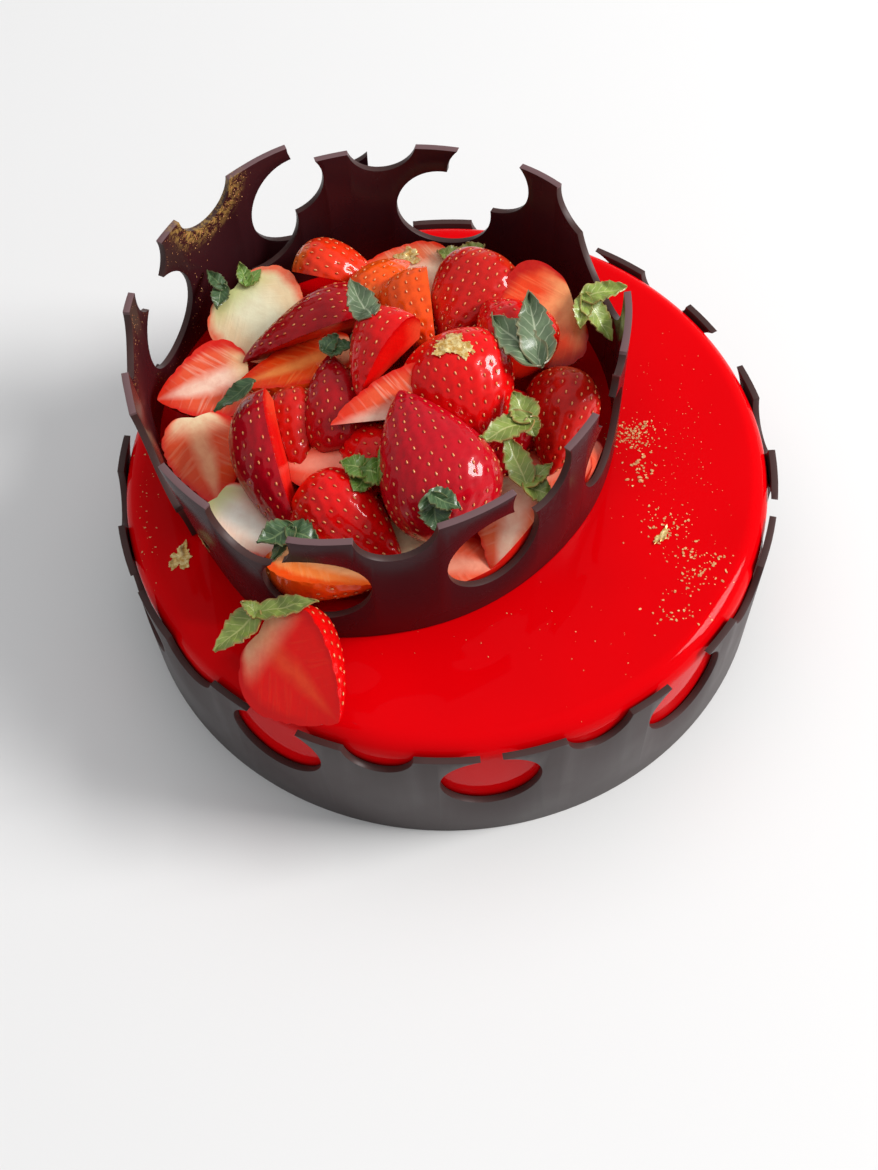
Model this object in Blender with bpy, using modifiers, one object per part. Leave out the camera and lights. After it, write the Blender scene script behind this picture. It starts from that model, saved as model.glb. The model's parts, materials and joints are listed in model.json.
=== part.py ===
# A round mousse cake in red mirror glaze, with a punched chocolate band round its side
# and a tall punched chocolate crown on top that holds a heap of cut strawberries.
# Metres, +Z up. The origin is the middle of the underside, and -Y is the front.

import math
import random

import bmesh
import bpy
from mathutils import Euler, Matrix, Vector

MM = 0.001
GAP = 0.3 * MM                      # clearance between pieces that touch

# Cake
CAKE_HEIGHT = 46.0 * MM
CAKE_RADIUS = 87.8 * MM
RIM_ROUND = 6.0 * MM                # rounding of the glazed top edge
FOOT_ROUND = 1.0 * MM
CAKE_STEPS = 56

# Chocolate
SHEET = 1.8 * MM                    # thickness of both bands of chocolate
BAND_RADIUS = 90.0 * MM             # outer face of the side band
BAND_HEIGHT = 44.0 * MM
BAND_SEAM = 95.0                    # bearing where the band's two ends meet, at the back
BAND_REPEAT = 36.0                  # degrees from one big hole to the next
FIRST_HOLE = -84.4
BIG_HOLE = (31.3, 13.0)             # height of the middle and radius, in millimetres
BIG_HOLE_SHIFT = 1.7                # every second big hole is this much higher
NOTCH = (45.4, 9.1)                 # the notches in the band's top edge between the big holes
CROWN_CENTRE = Vector((-16.5 * MM, 10.0 * MM, 0.0))
CROWN_NOMINAL = 64.0 * MM           # radius on which the crown's strips are laid out flat
CROWN_TOP = 90.0 * MM
STRIP_STEP = 6.0                    # degrees between the folds of a bent strip
HOLE_SIDES = 16

# Radius of the crown's middle surface at bearings round it, in millimetres. The soft strips
# were bent by hand, so the ring isn't quite round and its two ends overlap.
LONG_STRIP = ((-141, 65.0), (-129, 66.0), (-109, 67.1), (-94, 64.1), (-61, 61.5), (-42, 60.6),
              (-11, 61.9), (2, 63.9), (44, 67.4), (67, 64.5), (98, 60.5), (127, 60.4))
LEFT_STRIP = ((92, 68.6), (110, 68.6), (127, 65.5), (148, 63.9), (170, 63.3), (195, 62.7),
              (206, 63.9), (218, 67.6))
# Where the two ends meet on the left their feet stand further in than their tops
TUCK = 6.0 * MM
TUCK_BEARING = 215.0
TUCK_SPREAD = 40.0                  # degrees to each side

# Round cut-outs, each as bearing in degrees, height and radius in millimetres
LONG_CUTS = ((113.5, 84.0, 10.8), (123.8, 71.5, 13.1), (123.0, 91.0, 10.0), (88.3, 92.5, 9.9),
             (72.9, 68.6, 13.7), (61.3, 82.2, 11.8), (34.4, 88.9, 9.2), (21.0, 86.0, 16.5),
             (-14.5, 91.5, 4.2), (-22.0, 70.0, 13.5), (-24.0, 88.0, 7.0), (-50.1, 85.8, 10.0),
             (-63.2, 70.4, 13.5), (-85.8, 90.7, 10.0), (-103.5, 69.3, 13.0), (-117.0, 87.0, 10.6))
LEFT_CUTS = ((100.0, 90.0, 12.0), (109.3, 71.0, 14.9), (135.6, 91.2, 9.8), (157.5, 66.7, 13.6),
             (160.0, 87.0, 9.6), (183.0, 91.0, 10.0), (220.5, 88.0, 19.0), (232.0, 52.0, 22.0))

# Berries
SHOULDER = 0.62                     # less than 1 moves the widest part towards the stem
FULLNESS = 0.74                     # less than 1 rounds the tip
BERRY_FLAT = 0.93                   # thickness of a berry against its width
BERRY_SEGMENTS = 12
BERRY_RINGS = 7
STEM_DIMPLE = 0.06                  # depth of the hollow at the stem, of the length
LUMP = 0.05                         # unevenness of the outline, of the radius

# Each berry piece: name, cut, middle (x, y, z) in millimetres, heading of the tip, how far
# the tip dips, turn about its own length, length and width in millimetres, and colour.
# Pieces higher in the heap come first: the ones under them are cut back to make room.
BERRIES = (
    ("berry_small_wedge_top", "wedge", (-13, 6, 78), -130, 0, 180, 26, 28, "red"),
    ("berry_pink_wedge_top", "wedge", (-11.5, -10, 77), -175, 0, 235, 34, 28, "pink"),
    ("berry_big_front", "whole", (-4, -23, 76), 111, -18, 0, 40, 29, "red"),
    ("berry_gold_topped", "whole", (5.5, -1, 74), -67, 12, 0, 33, 30, "red"),
    ("berry_under_leaf_pair", "whole", (18, 20, 73), 117, 0, 0, 25, 22, "red"),
    ("berry_long_dark_half", "half", (-34, 25.5, 66.5), -166, 8, -120, 41, 25, "dark"),
    ("berry_long_left", "half", (-40, -17, 66.5), -78, 20, -78, 43, 31, "red"),
    ("berry_orange_wedge", "wedge", (-2.5, 28, 70), -85, -4, 180, 26, 28, "orange"),
    ("berry_dark_upright", "half", (-28, 1, 69), 95, -15, 180, 29, 20, "dark"),
    ("berry_dull_right", "whole", (30, -4, 65), -103, 18, 0, 29, 21, "dark"),
    ("berry_seeded_back", "whole", (8, 37, 66), -120, 6, 0, 31, 24, "red"),
    ("berry_wide_half_right", "half", (24.5, 26, 69), -159, 8, -25, 28, 32, "pink"),
    ("berry_under_cap", "whole", (15, -6, 62), -108, 20, 0, 26, 20, "dark"),
    ("berry_orange_slice_back", "half", (-14, 42, 66), 60, 0, 120, 24, 22, "orange"),
    ("berry_half_gold_flake", "half", (-11, 52, 62), 178, 5, -10, 31, 22, "pale"),
    ("berry_white_half_left", "half", (-48, 35, 63), -50, 10, 15, 32, 30, "pale"),
    ("berry_orange_back", "half", (-28, 51, 61), -17, 0, 130, 27, 25, "orange"),
    ("berry_striped_slice", "half", (-38.5, 14.5, 69.5), -162, 5, 20, 34, 23, "orange"),
    ("berry_cut_half_left", "half", (-63.5, 14.5, 62.5), -163, 3, -8, 27, 24, "pink"),
    ("berry_pale_half_left", "half", (-62.5, -8.5, 60.5), -74, 12, -8, 28, 23, "pale"),
    ("berry_small_orange", "half", (-38.5, -5, 66), -84, 10, 180, 25, 16, "orange"),
    ("berry_red_over_leaf", "whole", (-20, -12, 66), 144, 0, 0, 22, 19, "red"),
    ("berry_cut_middle", "half", (-31, -15.5, 67), 179, 6, -8, 25, 22, "pink"),
    ("berry_seeded_front", "half", (-24.5, -33, 64), -36, 9, 180, 32, 23, "red"),
    ("berry_glossy_white_half", "half", (-50, -30, 61), -43, 6, 0, 27, 20, "pale"),
    ("berry_in_front_hole", "half", (4, -42.5, 58.5), -8, 0, 0, 25, 19, "pink"),
    ("berry_half_with_calyx", "half", (15.5, -36, 65), -111, 33, 10, 26, 22, "pink"),
    ("berry_smooth_cut_right", "half", (26, -16, 60), -144, 10, 0, 24, 20, "pink"),
    ("berry_orange_in_hole", "half", (-30, -42.5, 61.5), -28, -4, -32, 30, 25, "orange"),
    ("berry_cream_front", "half", (-9.5, -36, 60), 19, 0, 0, 24, 18, "pale"),
    ("berry_at_side_hole", "half", (34, -12, 56), -110, 0, 0, 21, 15, "pink"),
)
GLAZE_BERRY = ("berry_half_on_glaze", "half", (-37.6, -72.4, 60.1), -51, 2, 42, 33, 30, "red")

# The lower layer, which only shows in the gaps: one berry in the middle and a ring round it
BED_RING = 6
BED_RING_RADIUS = 26 * MM
BED_HEIGHT = 52.5 * MM
BED_BERRY = (36, 18)                # length and width in millimetres
BED_MIDDLE = 1.2                    # how much wider the middle one is
BED_DETAIL = (7, 4)                 # sides and rings

# Tufts of leaves: the point where they join (x, y, z) in millimetres, then for each blade its
# heading, its rise, and its length and width in millimetres
LEAVES = {
    "leaf_white_half_left": ((-60, 45, 66.5), ((127, 13, 7, 5), (-100, -10, 6.5, 6))),
    "leaf_white_half_right": ((-53, 46, 66.5), ((112, 12, 7.5, 5), (51, 5, 5.5, 4.5))),
    "leaf_gold_half": ((6, 54, 65), ((155, 5, 7, 7), (23, 14, 8, 8))),
    "leaf_wide_half": ((38.5, 30, 74), ((10, 15, 11.5, 8), (-53, -22, 13.5, 8), (-105, -13, 9, 6))),
    "leaf_pair": ((24.5, 0, 84), ((131, 6, 19.5, 12), (95, 10, 22, 11))),
    "leaf_long_dark": ((-17.5, 14.5, 84), ((113, 11, 15.5, 9),)),
    "leaf_cap": ((21, -14, 79.5), ((-155, 10, 14.5, 9), (119, 17, 8.5, 9), (-58, -48, 4.5, 6))),
    "leaf_big_front": ((-3.5, -39, 85), ((-78, -46, 9.5, 9), (-27, -7, 7.5, 7))),
    "leaf_half_front": ((19.5, -29.5, 74), ((108, 26, 14, 8), (-21, -13, 8.5, 8), (43, 6, 9, 6))),
    "leaf_middle": ((-19.5, -24.5, 75), ((159, 17, 7, 8), (-116, -16, 7, 7), (-20, 3, 9, 10))),
    "leaf_slice": ((-30, 13, 77), ((7, 8, 7.5, 7), (39, 25, 5, 6))),
    "leaf_long_left": ((-47, -4.5, 86), ((-170, -31, 13.5, 6),)),
    "leaf_front": ((-38.5, -37.5, 70), ((-149, 6, 9, 9), (-32, 0, 8, 8), (-125, -25, 10, 4))),
    "leaf_glaze_berry": ((-46.5, -58, 65), ((-144, -16, 14, 9), (-3, 25, 16, 7), (150, 40, 5, 5))),
}
LEAF_THICKNESS = 0.7 * MM
LEAF_ROWS = 3
LEAF_OVERLAP = 1.0                  # how far each blade starts behind the point they share
LEAF_BASE = 0.14                    # width at the stem, of the full width
LEAF_POINT = 0.9                    # more makes the blades narrower and more pointed
LEAF_FOLD = 0.12                    # how far the sides stand up from the midrib, of the width
LEAF_WAVE = 0.05
LEAF_DROOP = 0.12                   # how far the tip hangs, of the length

# Crumpled pieces of gold leaf that lie on the glaze: place and size in millimetres
GOLD_FLAKES = (((-70.2, -29.8), 10), ((56, -28), 7))
FLAKE_FLAT = 0.22                   # thickness of a lump, of its size
FLAKE_UNEVEN = 0.22

SKIN = {"red": (0.62, 0.02, 0.02), "dark": (0.40, 0.01, 0.015), "orange": (0.85, 0.14, 0.02),
        "pink": (0.88, 0.30, 0.20), "pale": (0.86, 0.66, 0.45)}

parts = bpy.data.collections.new("strawberry_mousse_cake")
cutters = bpy.data.collections.new("cutters")


def clear_scene():
    for item in list(bpy.data.objects):
        bpy.data.objects.remove(item, do_unlink=True)
    bpy.context.scene.collection.children.link(parts)
    bpy.context.scene.collection.children.link(cutters)


def material(name, colour, roughness, metallic=0.0):
    finish = bpy.data.materials.new(name)
    finish.use_nodes = True
    shader = finish.node_tree.nodes["Principled BSDF"]
    shader.inputs["Base Color"].default_value = (*colour, 1.0)
    shader.inputs["Roughness"].default_value = roughness
    shader.inputs["Metallic"].default_value = metallic
    finish.diffuse_color = (*colour, 1.0)
    return finish


def add_object(name, mesh, finish=None, collection=parts):
    item = bpy.data.objects.new(name, mesh)
    collection.objects.link(item)
    if finish:
        item.data.materials.append(finish)
    return item


def dress(item, finish):
    item.data.materials.clear()
    item.data.materials.append(finish)


def face_out(shape):
    bmesh.ops.recalc_face_normals(shape, faces=shape.faces)
    if shape.calc_volume(signed=True) < 0.0:
        bmesh.ops.reverse_faces(shape, faces=shape.faces)


def mesh_from(name, shape):
    face_out(shape)
    mesh = bpy.data.meshes.new(name)
    shape.to_mesh(mesh)
    shape.free()
    return mesh


def add_cutter(name, mesh, matrix=Matrix.Identity(4)):
    item = add_object(name, mesh, collection=cutters)
    item.matrix_world = matrix
    item.hide_render = True
    item.display_type = "WIRE"
    return item


def boolean(item, operation, operand, solver="EXACT"):
    step = item.modifiers.new(operation.lower(), "BOOLEAN")
    step.operation = operation
    step.solver = solver
    if isinstance(operand, bpy.types.Collection):
        step.operand_type = "COLLECTION"
        step.collection = operand
    else:
        step.object = operand


def apply_modifiers(item):
    bpy.context.view_layer.update()
    graph = bpy.context.evaluated_depsgraph_get()
    mesh = bpy.data.meshes.new_from_object(item.evaluated_get(graph))
    item.modifiers.clear()
    item.data = mesh


def keep_largest_piece(item):
    shape = bmesh.new()
    shape.from_mesh(item.data)
    unseen = set(shape.verts)
    pieces = []
    while unseen:
        stack = [unseen.pop()]
        piece = set(stack)
        while stack:
            for edge in stack.pop().link_edges:
                for vertex in edge.verts:
                    if vertex in unseen:
                        unseen.discard(vertex)
                        piece.add(vertex)
                        stack.append(vertex)
        pieces.append(piece)
    largest = max(pieces, key=spread)
    loose = [vertex for piece in pieces if piece is not largest for vertex in piece]
    bmesh.ops.delete(shape, geom=loose, context="VERTS")
    for method in ("BEAUTY", "EAR_CLIP"):
        trial = shape.copy()
        bmesh.ops.triangulate(trial, faces=trial.faces, ngon_method=method)
        if all(len(edge.link_faces) == 2 for edge in trial.edges):
            break
    trial.to_mesh(item.data)
    trial.free()
    shape.free()


def spread(piece):
    spans = [max(v.co[i] for v in piece) - min(v.co[i] for v in piece) for i in range(3)]
    return spans[0] * spans[1] * spans[2]


def shade_round(item, angle=40.0):
    item.data.shade_smooth()
    item.data.set_sharp_from_angle(angle=math.radians(angle))


# Cake

def glaze_profile():
    points = [(0.0, CAKE_HEIGHT)]
    for corner_z, size, first in ((CAKE_HEIGHT, RIM_ROUND, 90), (0.0, FOOT_ROUND, 0)):
        middle_z = corner_z - size if corner_z else size
        steps = 3 if corner_z else 1
        for i in range(steps + 1):
            angle = math.radians(first - 90.0 * i / steps)
            points.append((CAKE_RADIUS - size + size * math.cos(angle),
                           middle_z + size * math.sin(angle)))
    points.append((0.0, 0.0))
    return points


def build_cake(finish, flakes):
    shape = bmesh.new()
    row = [shape.verts.new((x, 0.0, z)) for x, z in glaze_profile()]
    for upper, lower in zip(row, row[1:]):
        shape.edges.new((upper, lower))
    mesh = bpy.data.meshes.new("cake")
    shape.to_mesh(mesh)
    shape.free()
    cake = add_object("glazed_cake", mesh, finish)
    turn = cake.modifiers.new("turn", "SCREW")
    turn.steps = CAKE_STEPS
    turn.render_steps = CAKE_STEPS
    turn.use_merge_vertices = True
    turn.merge_threshold = 0.00001
    boolean(cake, "UNION", flakes)
    apply_modifiers(cake)
    shade_round(cake)
    return cake


def gold_flakes():
    flakes = bpy.data.collections.new("gold_flakes")
    cutters.children.link(flakes)
    for number, ((x, y), size) in enumerate(GOLD_FLAKES):
        rand = random.Random(number + 5)
        shape = bmesh.new()
        bmesh.ops.create_icosphere(shape, subdivisions=2, radius=size * MM / 2)
        for vertex in shape.verts:
            vertex.co.z *= FLAKE_FLAT
            vertex.co *= 1.0 + rand.uniform(-FLAKE_UNEVEN, FLAKE_UNEVEN)
        flake = add_object(f"flake_{number}", mesh_from("flake", shape), collection=flakes)
        flake.location = (x * MM, y * MM, CAKE_HEIGHT + 0.4 * MM)
    return flakes


# Chocolate strips, made flat, punched and then bent round

def flat_strip(name, start, stop, nominal, base, top):
    """A flat strip whose X is the arc length at the nominal radius and Y the height."""
    columns = max(2, round((stop - start) / STRIP_STEP))
    shape = bmesh.new()
    bmesh.ops.create_grid(shape, x_segments=columns, y_segments=1, size=0.5)
    for vertex in shape.verts:
        share = vertex.co.x + 0.5
        vertex.co.x = math.radians(start + (stop - start) * share) * nominal
        vertex.co.y = base + (top - base) * (vertex.co.y + 0.5)
    strip = add_object(name, mesh_from(name, shape))
    shell = strip.modifiers.new("sheet", "SOLIDIFY")
    shell.thickness = SHEET
    shell.offset = 0.0
    return strip


def punch(strip, cuts, nominal):
    """Cut round holes through the flat strip."""
    punches = bpy.data.collections.new(strip.name + "_punches")
    cutters.children.link(punches)
    for number, (bearing, height, radius) in enumerate(cuts):
        shape = bmesh.new()
        bmesh.ops.create_cone(shape, cap_ends=True, segments=HOLE_SIDES, radius1=radius * MM,
                              radius2=radius * MM, depth=SHEET * 4)
        place = Vector((math.radians(bearing) * nominal, height * MM, 0.0))
        bmesh.ops.rotate(shape, verts=shape.verts,
                         matrix=Matrix.Rotation(math.radians(7.0 * number + 3.0), 3, "Z"))
        bmesh.ops.translate(shape, verts=shape.verts, vec=place)
        add_object(f"{strip.name}_punch_{number}", mesh_from("punch", shape), collection=punches)
    boolean(strip, "DIFFERENCE", punches)
    apply_modifiers(strip)


def bend(strip, nominal, centre, radius_at):
    """Wrap the flat strip round an upright axis, at the radius of each bearing and height."""
    shape = bmesh.new()
    shape.from_mesh(strip.data)
    bmesh.ops.triangulate(shape, faces=shape.faces)
    for vertex in shape.verts:
        bearing = vertex.co.x / nominal
        height = vertex.co.y
        radius = radius_at(math.degrees(bearing), height) + vertex.co.z
        vertex.co = centre + Vector((radius * math.cos(bearing), radius * math.sin(bearing), height))
    face_out(shape)
    shape.to_mesh(strip.data)
    shape.free()
    shade_round(strip)


def strip_radius(stations, bearing, height):
    """Radius between the hand-set stations, eased over a few degrees and tucked in at the foot."""
    total = 0.0
    offsets = (-8, -4, 0, 4, 8)
    for offset in offsets:
        at = min(max(bearing + offset, stations[0][0]), stations[-1][0])
        for (low, radius_low), (high, radius_high) in zip(stations, stations[1:]):
            if at <= high:
                share = (at - low) / (high - low)
                total += radius_low + (radius_high - radius_low) * share
                break
    away = abs((bearing - TUCK_BEARING + 180.0) % 360.0 - 180.0)
    tuck = TUCK * math.cos(math.radians(90.0 * min(1.0, away / TUCK_SPREAD))) ** 2
    below_top = (CROWN_TOP - height) / (CROWN_TOP - CAKE_HEIGHT)
    return total / len(offsets) * MM - tuck * below_top


def build_side_band(finish):
    nominal = BAND_RADIUS
    start = BAND_SEAM - 360.0
    strip = flat_strip("chocolate_side_band", start, BAND_SEAM - 0.25, nominal, 0.0, BAND_HEIGHT)
    cuts = []
    for i in range(round(360.0 / BAND_REPEAT)):
        bearing = FIRST_HOLE + BAND_REPEAT * i
        cuts.append((bearing, BIG_HOLE[0] + BIG_HOLE_SHIFT * (i % 2), BIG_HOLE[1]))
        cuts.append((bearing + BAND_REPEAT / 2, *NOTCH))
    wrapped = [((b - start) % 360.0 + start, h, r) for b, h, r in cuts]
    punch(strip, wrapped, nominal)
    bend(strip, nominal, Vector((0.0, 0.0, 0.0)), lambda bearing, height: BAND_RADIUS - SHEET / 2)
    strip.data.materials.append(finish)
    return strip


def build_crown(finish):
    for name, stations, cuts in (("crown_long_strip", LONG_STRIP, LONG_CUTS),
                                 ("crown_left_strip", LEFT_STRIP, LEFT_CUTS)):
        strip = flat_strip(name, stations[0][0], stations[-1][0], CROWN_NOMINAL,
                           CAKE_HEIGHT + GAP, CROWN_TOP)
        punch(strip, cuts, CROWN_NOMINAL)
        bend(strip, CROWN_NOMINAL, CROWN_CENTRE,
             lambda bearing, height, stations=stations: strip_radius(stations, bearing, height))
        strip.data.materials.append(finish)


def crown_room():
    """The space inside the crown, above the glaze, that the fruit may fill."""
    shape = bmesh.new()
    bmesh.ops.create_cone(shape, cap_ends=True, segments=72, radius1=1.0, radius2=1.0, depth=2.0)
    for vertex in shape.verts:
        bearing = math.degrees(math.atan2(vertex.co.y, vertex.co.x))
        height = CAKE_HEIGHT + GAP if vertex.co.z < 0.0 else CROWN_TOP
        reach = []
        for stations in (LONG_STRIP, LEFT_STRIP):
            for turn in (bearing, bearing + 360.0):
                if stations[0][0] <= turn <= stations[-1][0]:
                    reach.append(strip_radius(stations, turn, height))
        radius = min(reach) - SHEET / 2 - 2 * GAP
        flat = Vector((vertex.co.x, vertex.co.y, 0.0)).normalized() * radius
        vertex.co = CROWN_CENTRE + flat + Vector((0.0, 0.0, height))
    bmesh.ops.triangulate(shape, faces=shape.faces)
    return add_cutter("crown_room", mesh_from("crown_room", shape))


# Berries

def berry_place(middle, heading, dip, turn):
    angles = Euler([math.radians(value) for value in (turn, dip, heading)], "XYZ")
    return Matrix.Translation(Vector(middle) * MM) @ angles.to_matrix().to_4x4()


def berry_shape(name, cut, length, width, segments=BERRY_SEGMENTS, rings=BERRY_RINGS):
    """A strawberry along X, stem end at -X, cut so that its cut face looks up."""
    rand = random.Random(name)
    phases = [rand.uniform(0.0, 2.0 * math.pi) for _ in range(3)]
    shape = bmesh.new()
    bmesh.ops.create_uvsphere(shape, u_segments=segments, v_segments=rings, radius=1.0)
    for vertex in shape.verts:
        along = (1.0 - vertex.co.z) / 2.0
        around = math.atan2(vertex.co.y, vertex.co.x)
        swell = max(0.0, math.sin(math.pi * along ** SHOULDER)) ** FULLNESS
        uneven = 1.0 + LUMP * (math.sin(2.0 * around + phases[0]) + 0.6 * math.sin(3.0 * around + phases[1])
                               + 0.8 * math.sin(5.0 * along + around + phases[2]))
        radius = width * MM / 2.0 * swell * uneven
        dimple = STEM_DIMPLE * max(0.0, 1.0 - 2.0 * swell) if along < 0.5 else 0.0
        vertex.co = ((along - 0.5 + dimple) * length * MM, radius * math.cos(around),
                     radius * math.sin(around) * BERRY_FLAT)
    if cut in ("half", "wedge"):
        slice_off(shape, Vector((0.0, 0.0, 1.0)))
    if cut == "wedge":
        slice_off(shape, Vector((0.0, -1.0, 0.0)))
    bmesh.ops.triangulate(shape, faces=shape.faces)
    face_out(shape)
    return shape


def slice_off(shape, outward):
    """Cut the berry with a plane through its middle line and close the cut."""
    everything = shape.verts[:] + shape.edges[:] + shape.faces[:]
    bmesh.ops.bisect_plane(shape, geom=everything, dist=0.0001 * MM, plane_co=(0.0, 0.0, 0.0),
                           plane_no=outward, clear_outer=True)
    rim = [edge for edge in shape.edges if edge.is_boundary]
    bmesh.ops.holes_fill(shape, edges=rim, sides=0)


def grown(shape, amount):
    """The same shape with every face moved out by the amount."""
    shape.normal_update()
    moves = [(v, v.normal * amount * min(2.0, v.calc_shell_factor())) for v in shape.verts]
    for vertex, move in moves:
        vertex.co += move
    return shape


def near(first, second):
    distance = (first.matrix_world.translation - second.matrix_world.translation).length
    return distance < (first["reach"] + second["reach"])


def build_berry(row, finishes, room, above):
    name, cut, middle, heading, dip, turn, length, width, colour = row
    place = berry_place(middle, heading, dip, turn)
    berry = add_object(name, mesh_from(name, berry_shape(name, cut, length, width)), finishes[colour])
    berry.matrix_world = place
    berry["reach"] = length * MM / 2.0 + 1.0 * MM
    for other in above:
        if near(berry, other):
            boolean(berry, "DIFFERENCE", other)
    if room:
        boolean(berry, "INTERSECT", room)
    apply_modifiers(berry)
    keep_largest_piece(berry)
    shade_round(berry, 35.0)
    roomy = grown(berry_shape(name, cut, length, width), GAP)
    guard = add_cutter(name + "_guard", mesh_from(name, roomy), place)
    guard["reach"] = berry["reach"]
    return guard


def build_bed(finish, room, above):
    """The lower layer of berries, joined into one solid under the pieces that show."""
    lower = bpy.data.collections.new("lower_berries")
    cutters.children.link(lower)
    length, width = BED_BERRY
    for i in range(BED_RING):
        angle = 360.0 / BED_RING * i
        shape = berry_shape(f"bed_{i}", "whole", length, width, *BED_DETAIL)
        piece = add_object(f"bed_{i}", mesh_from("bed", shape), collection=lower)
        out = Vector((math.cos(math.radians(angle)), math.sin(math.radians(angle)), 0.0))
        spot = (CROWN_CENTRE + out * BED_RING_RADIUS + Vector((0, 0, BED_HEIGHT))) / MM
        piece.matrix_world = berry_place(spot, angle + 90.0, 0.0, 0.0)
    middle = berry_shape("bed_middle", "whole", length, width * BED_MIDDLE, *BED_DETAIL)
    bed = add_object("berry_lower_layer", mesh_from("bed", middle), finish)
    bed.matrix_world = Matrix.Translation(CROWN_CENTRE + Vector((0.0, 0.0, BED_HEIGHT + 1.0 * MM)))
    bed["reach"] = BED_RING_RADIUS + length * MM
    boolean(bed, "UNION", lower, "MANIFOLD")
    boolean(bed, "INTERSECT", room, "MANIFOLD")
    for other in above:
        if near(bed, other):
            boolean(bed, "DIFFERENCE", other, "MANIFOLD")
    apply_modifiers(bed)
    keep_largest_piece(bed)
    shade_round(bed, 35.0)
    return bed


# Leaves

def blade(name, length, width, place, collection):
    """A thin leaf along X from its stem, folded at the midrib, drooping and waved at its edge."""
    shape = bmesh.new()
    bmesh.ops.create_grid(shape, x_segments=LEAF_ROWS, y_segments=2, size=0.5)
    for vertex in shape.verts:
        along = vertex.co.x + 0.5
        side = vertex.co.y * 2.0
        swell = max(0.0, math.sin(math.pi * along ** 0.8)) ** LEAF_POINT
        half = width / 2.0 * (LEAF_BASE + (1.0 - LEAF_BASE) * swell)
        fold = LEAF_FOLD * width * abs(side)
        wave = LEAF_WAVE * width * math.sin(9.0 * along + 2.0 * side)
        droop = LEAF_DROOP * length * along * along
        vertex.co = Vector((along * (length + LEAF_OVERLAP) - LEAF_OVERLAP, side * half,
                            fold + wave - droop)) * MM
    leaf = add_object(name, mesh_from(name, shape), collection=collection)
    leaf.matrix_world = place
    sheet = leaf.modifiers.new("sheet", "SOLIDIFY")
    sheet.thickness = LEAF_THICKNESS
    sheet.offset = 0.0
    step = leaf.modifiers.new("triangles", "TRIANGULATE")
    step.quad_method = "FIXED"
    apply_modifiers(leaf)
    return leaf


def build_leaves(name, stem, blades, finish, guards, room):
    """A tuft of leaves, cut back where it would run into the fruit or the crown."""
    others = bpy.data.collections.new(name + "_blades")
    cutters.children.link(others)
    places = [berry_place(stem, heading, -rise, 0.0) for heading, rise, _, _ in blades]
    tuft = blade(name, *blades[0][2:], places[0], parts)
    for number, (place, (_, _, length, width)) in enumerate(zip(places[1:], blades[1:])):
        blade(f"{name}_{number}", length, width, place, others)
    tuft["reach"] = max(length for _, _, length, _ in blades) * MM
    if len(blades) > 1:
        boolean(tuft, "UNION", others, "MANIFOLD")
    if (Vector(stem) * MM - CROWN_CENTRE).xy.length < CROWN_NOMINAL:
        boolean(tuft, "INTERSECT", room, "MANIFOLD")
    for guard in guards:
        if near(tuft, guard):
            boolean(tuft, "DIFFERENCE", guard, "MANIFOLD")
    apply_modifiers(tuft)
    keep_largest_piece(tuft)
    shade_round(tuft, 60.0)
    dress(tuft, finish)


def main():
    clear_scene()
    glaze = material("red_glaze", (0.75, 0.005, 0.01), 0.06)
    chocolate = material("dark_chocolate", (0.05, 0.022, 0.022), 0.35)
    leaf_green = material("strawberry_leaf", (0.18, 0.30, 0.10), 0.5)
    finishes = {look: material("berry_" + look, colour, 0.25) for look, colour in SKIN.items()}
    build_cake(glaze, gold_flakes())
    build_side_band(chocolate)
    build_crown(chocolate)
    room = crown_room()
    guards = []
    for row in BERRIES:
        guards.append(build_berry(row, finishes, room, guards))
    build_bed(finishes["dark"], room, guards)
    guards.append(build_berry(GLAZE_BERRY, finishes, None, []))
    for name, (stem, blades) in LEAVES.items():
        build_leaves(name, stem, blades, leaf_green, guards, room)
    for item in list(cutters.all_objects):
        bpy.data.objects.remove(item, do_unlink=True)


main()
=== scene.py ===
# A round mousse cake in red mirror glaze. A punched chocolate band goes round its side, and a
# tall punched chocolate crown on top holds a heap of cut strawberries.
# Sizes are in millimetres unless a note says metres, and become metres through mm. Bearings are in
# degrees, and count from the right of the photograph to its back.

import json
import math
import random

import bmesh
import bpy
import numpy as np
from mathutils import Euler, Matrix, Vector
from mathutils.bvhtree import BVHTree

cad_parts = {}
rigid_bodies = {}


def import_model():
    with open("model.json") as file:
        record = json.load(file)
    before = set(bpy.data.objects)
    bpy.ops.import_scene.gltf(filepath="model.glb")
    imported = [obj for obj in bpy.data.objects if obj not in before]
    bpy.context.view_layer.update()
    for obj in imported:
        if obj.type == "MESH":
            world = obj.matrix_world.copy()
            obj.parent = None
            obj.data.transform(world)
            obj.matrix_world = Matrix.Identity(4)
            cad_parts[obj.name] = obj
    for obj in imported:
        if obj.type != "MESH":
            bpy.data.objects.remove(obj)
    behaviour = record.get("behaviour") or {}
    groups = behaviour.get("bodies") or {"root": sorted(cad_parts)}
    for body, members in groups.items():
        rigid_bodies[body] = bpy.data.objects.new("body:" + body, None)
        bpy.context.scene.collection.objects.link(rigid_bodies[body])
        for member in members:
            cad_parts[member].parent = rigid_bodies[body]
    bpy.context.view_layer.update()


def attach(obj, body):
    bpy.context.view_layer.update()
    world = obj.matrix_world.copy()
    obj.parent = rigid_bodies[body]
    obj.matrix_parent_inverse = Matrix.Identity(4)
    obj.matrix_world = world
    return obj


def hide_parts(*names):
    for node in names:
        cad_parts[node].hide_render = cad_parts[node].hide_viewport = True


mm = 0.001
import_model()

crownCentre = Vector((-16.5, 10.0, 0.0))
work = bpy.data.collections.new("work")         # helpers that are thrown away at the end
bpy.context.scene.collection.children.link(work)


# Small helpers

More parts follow.
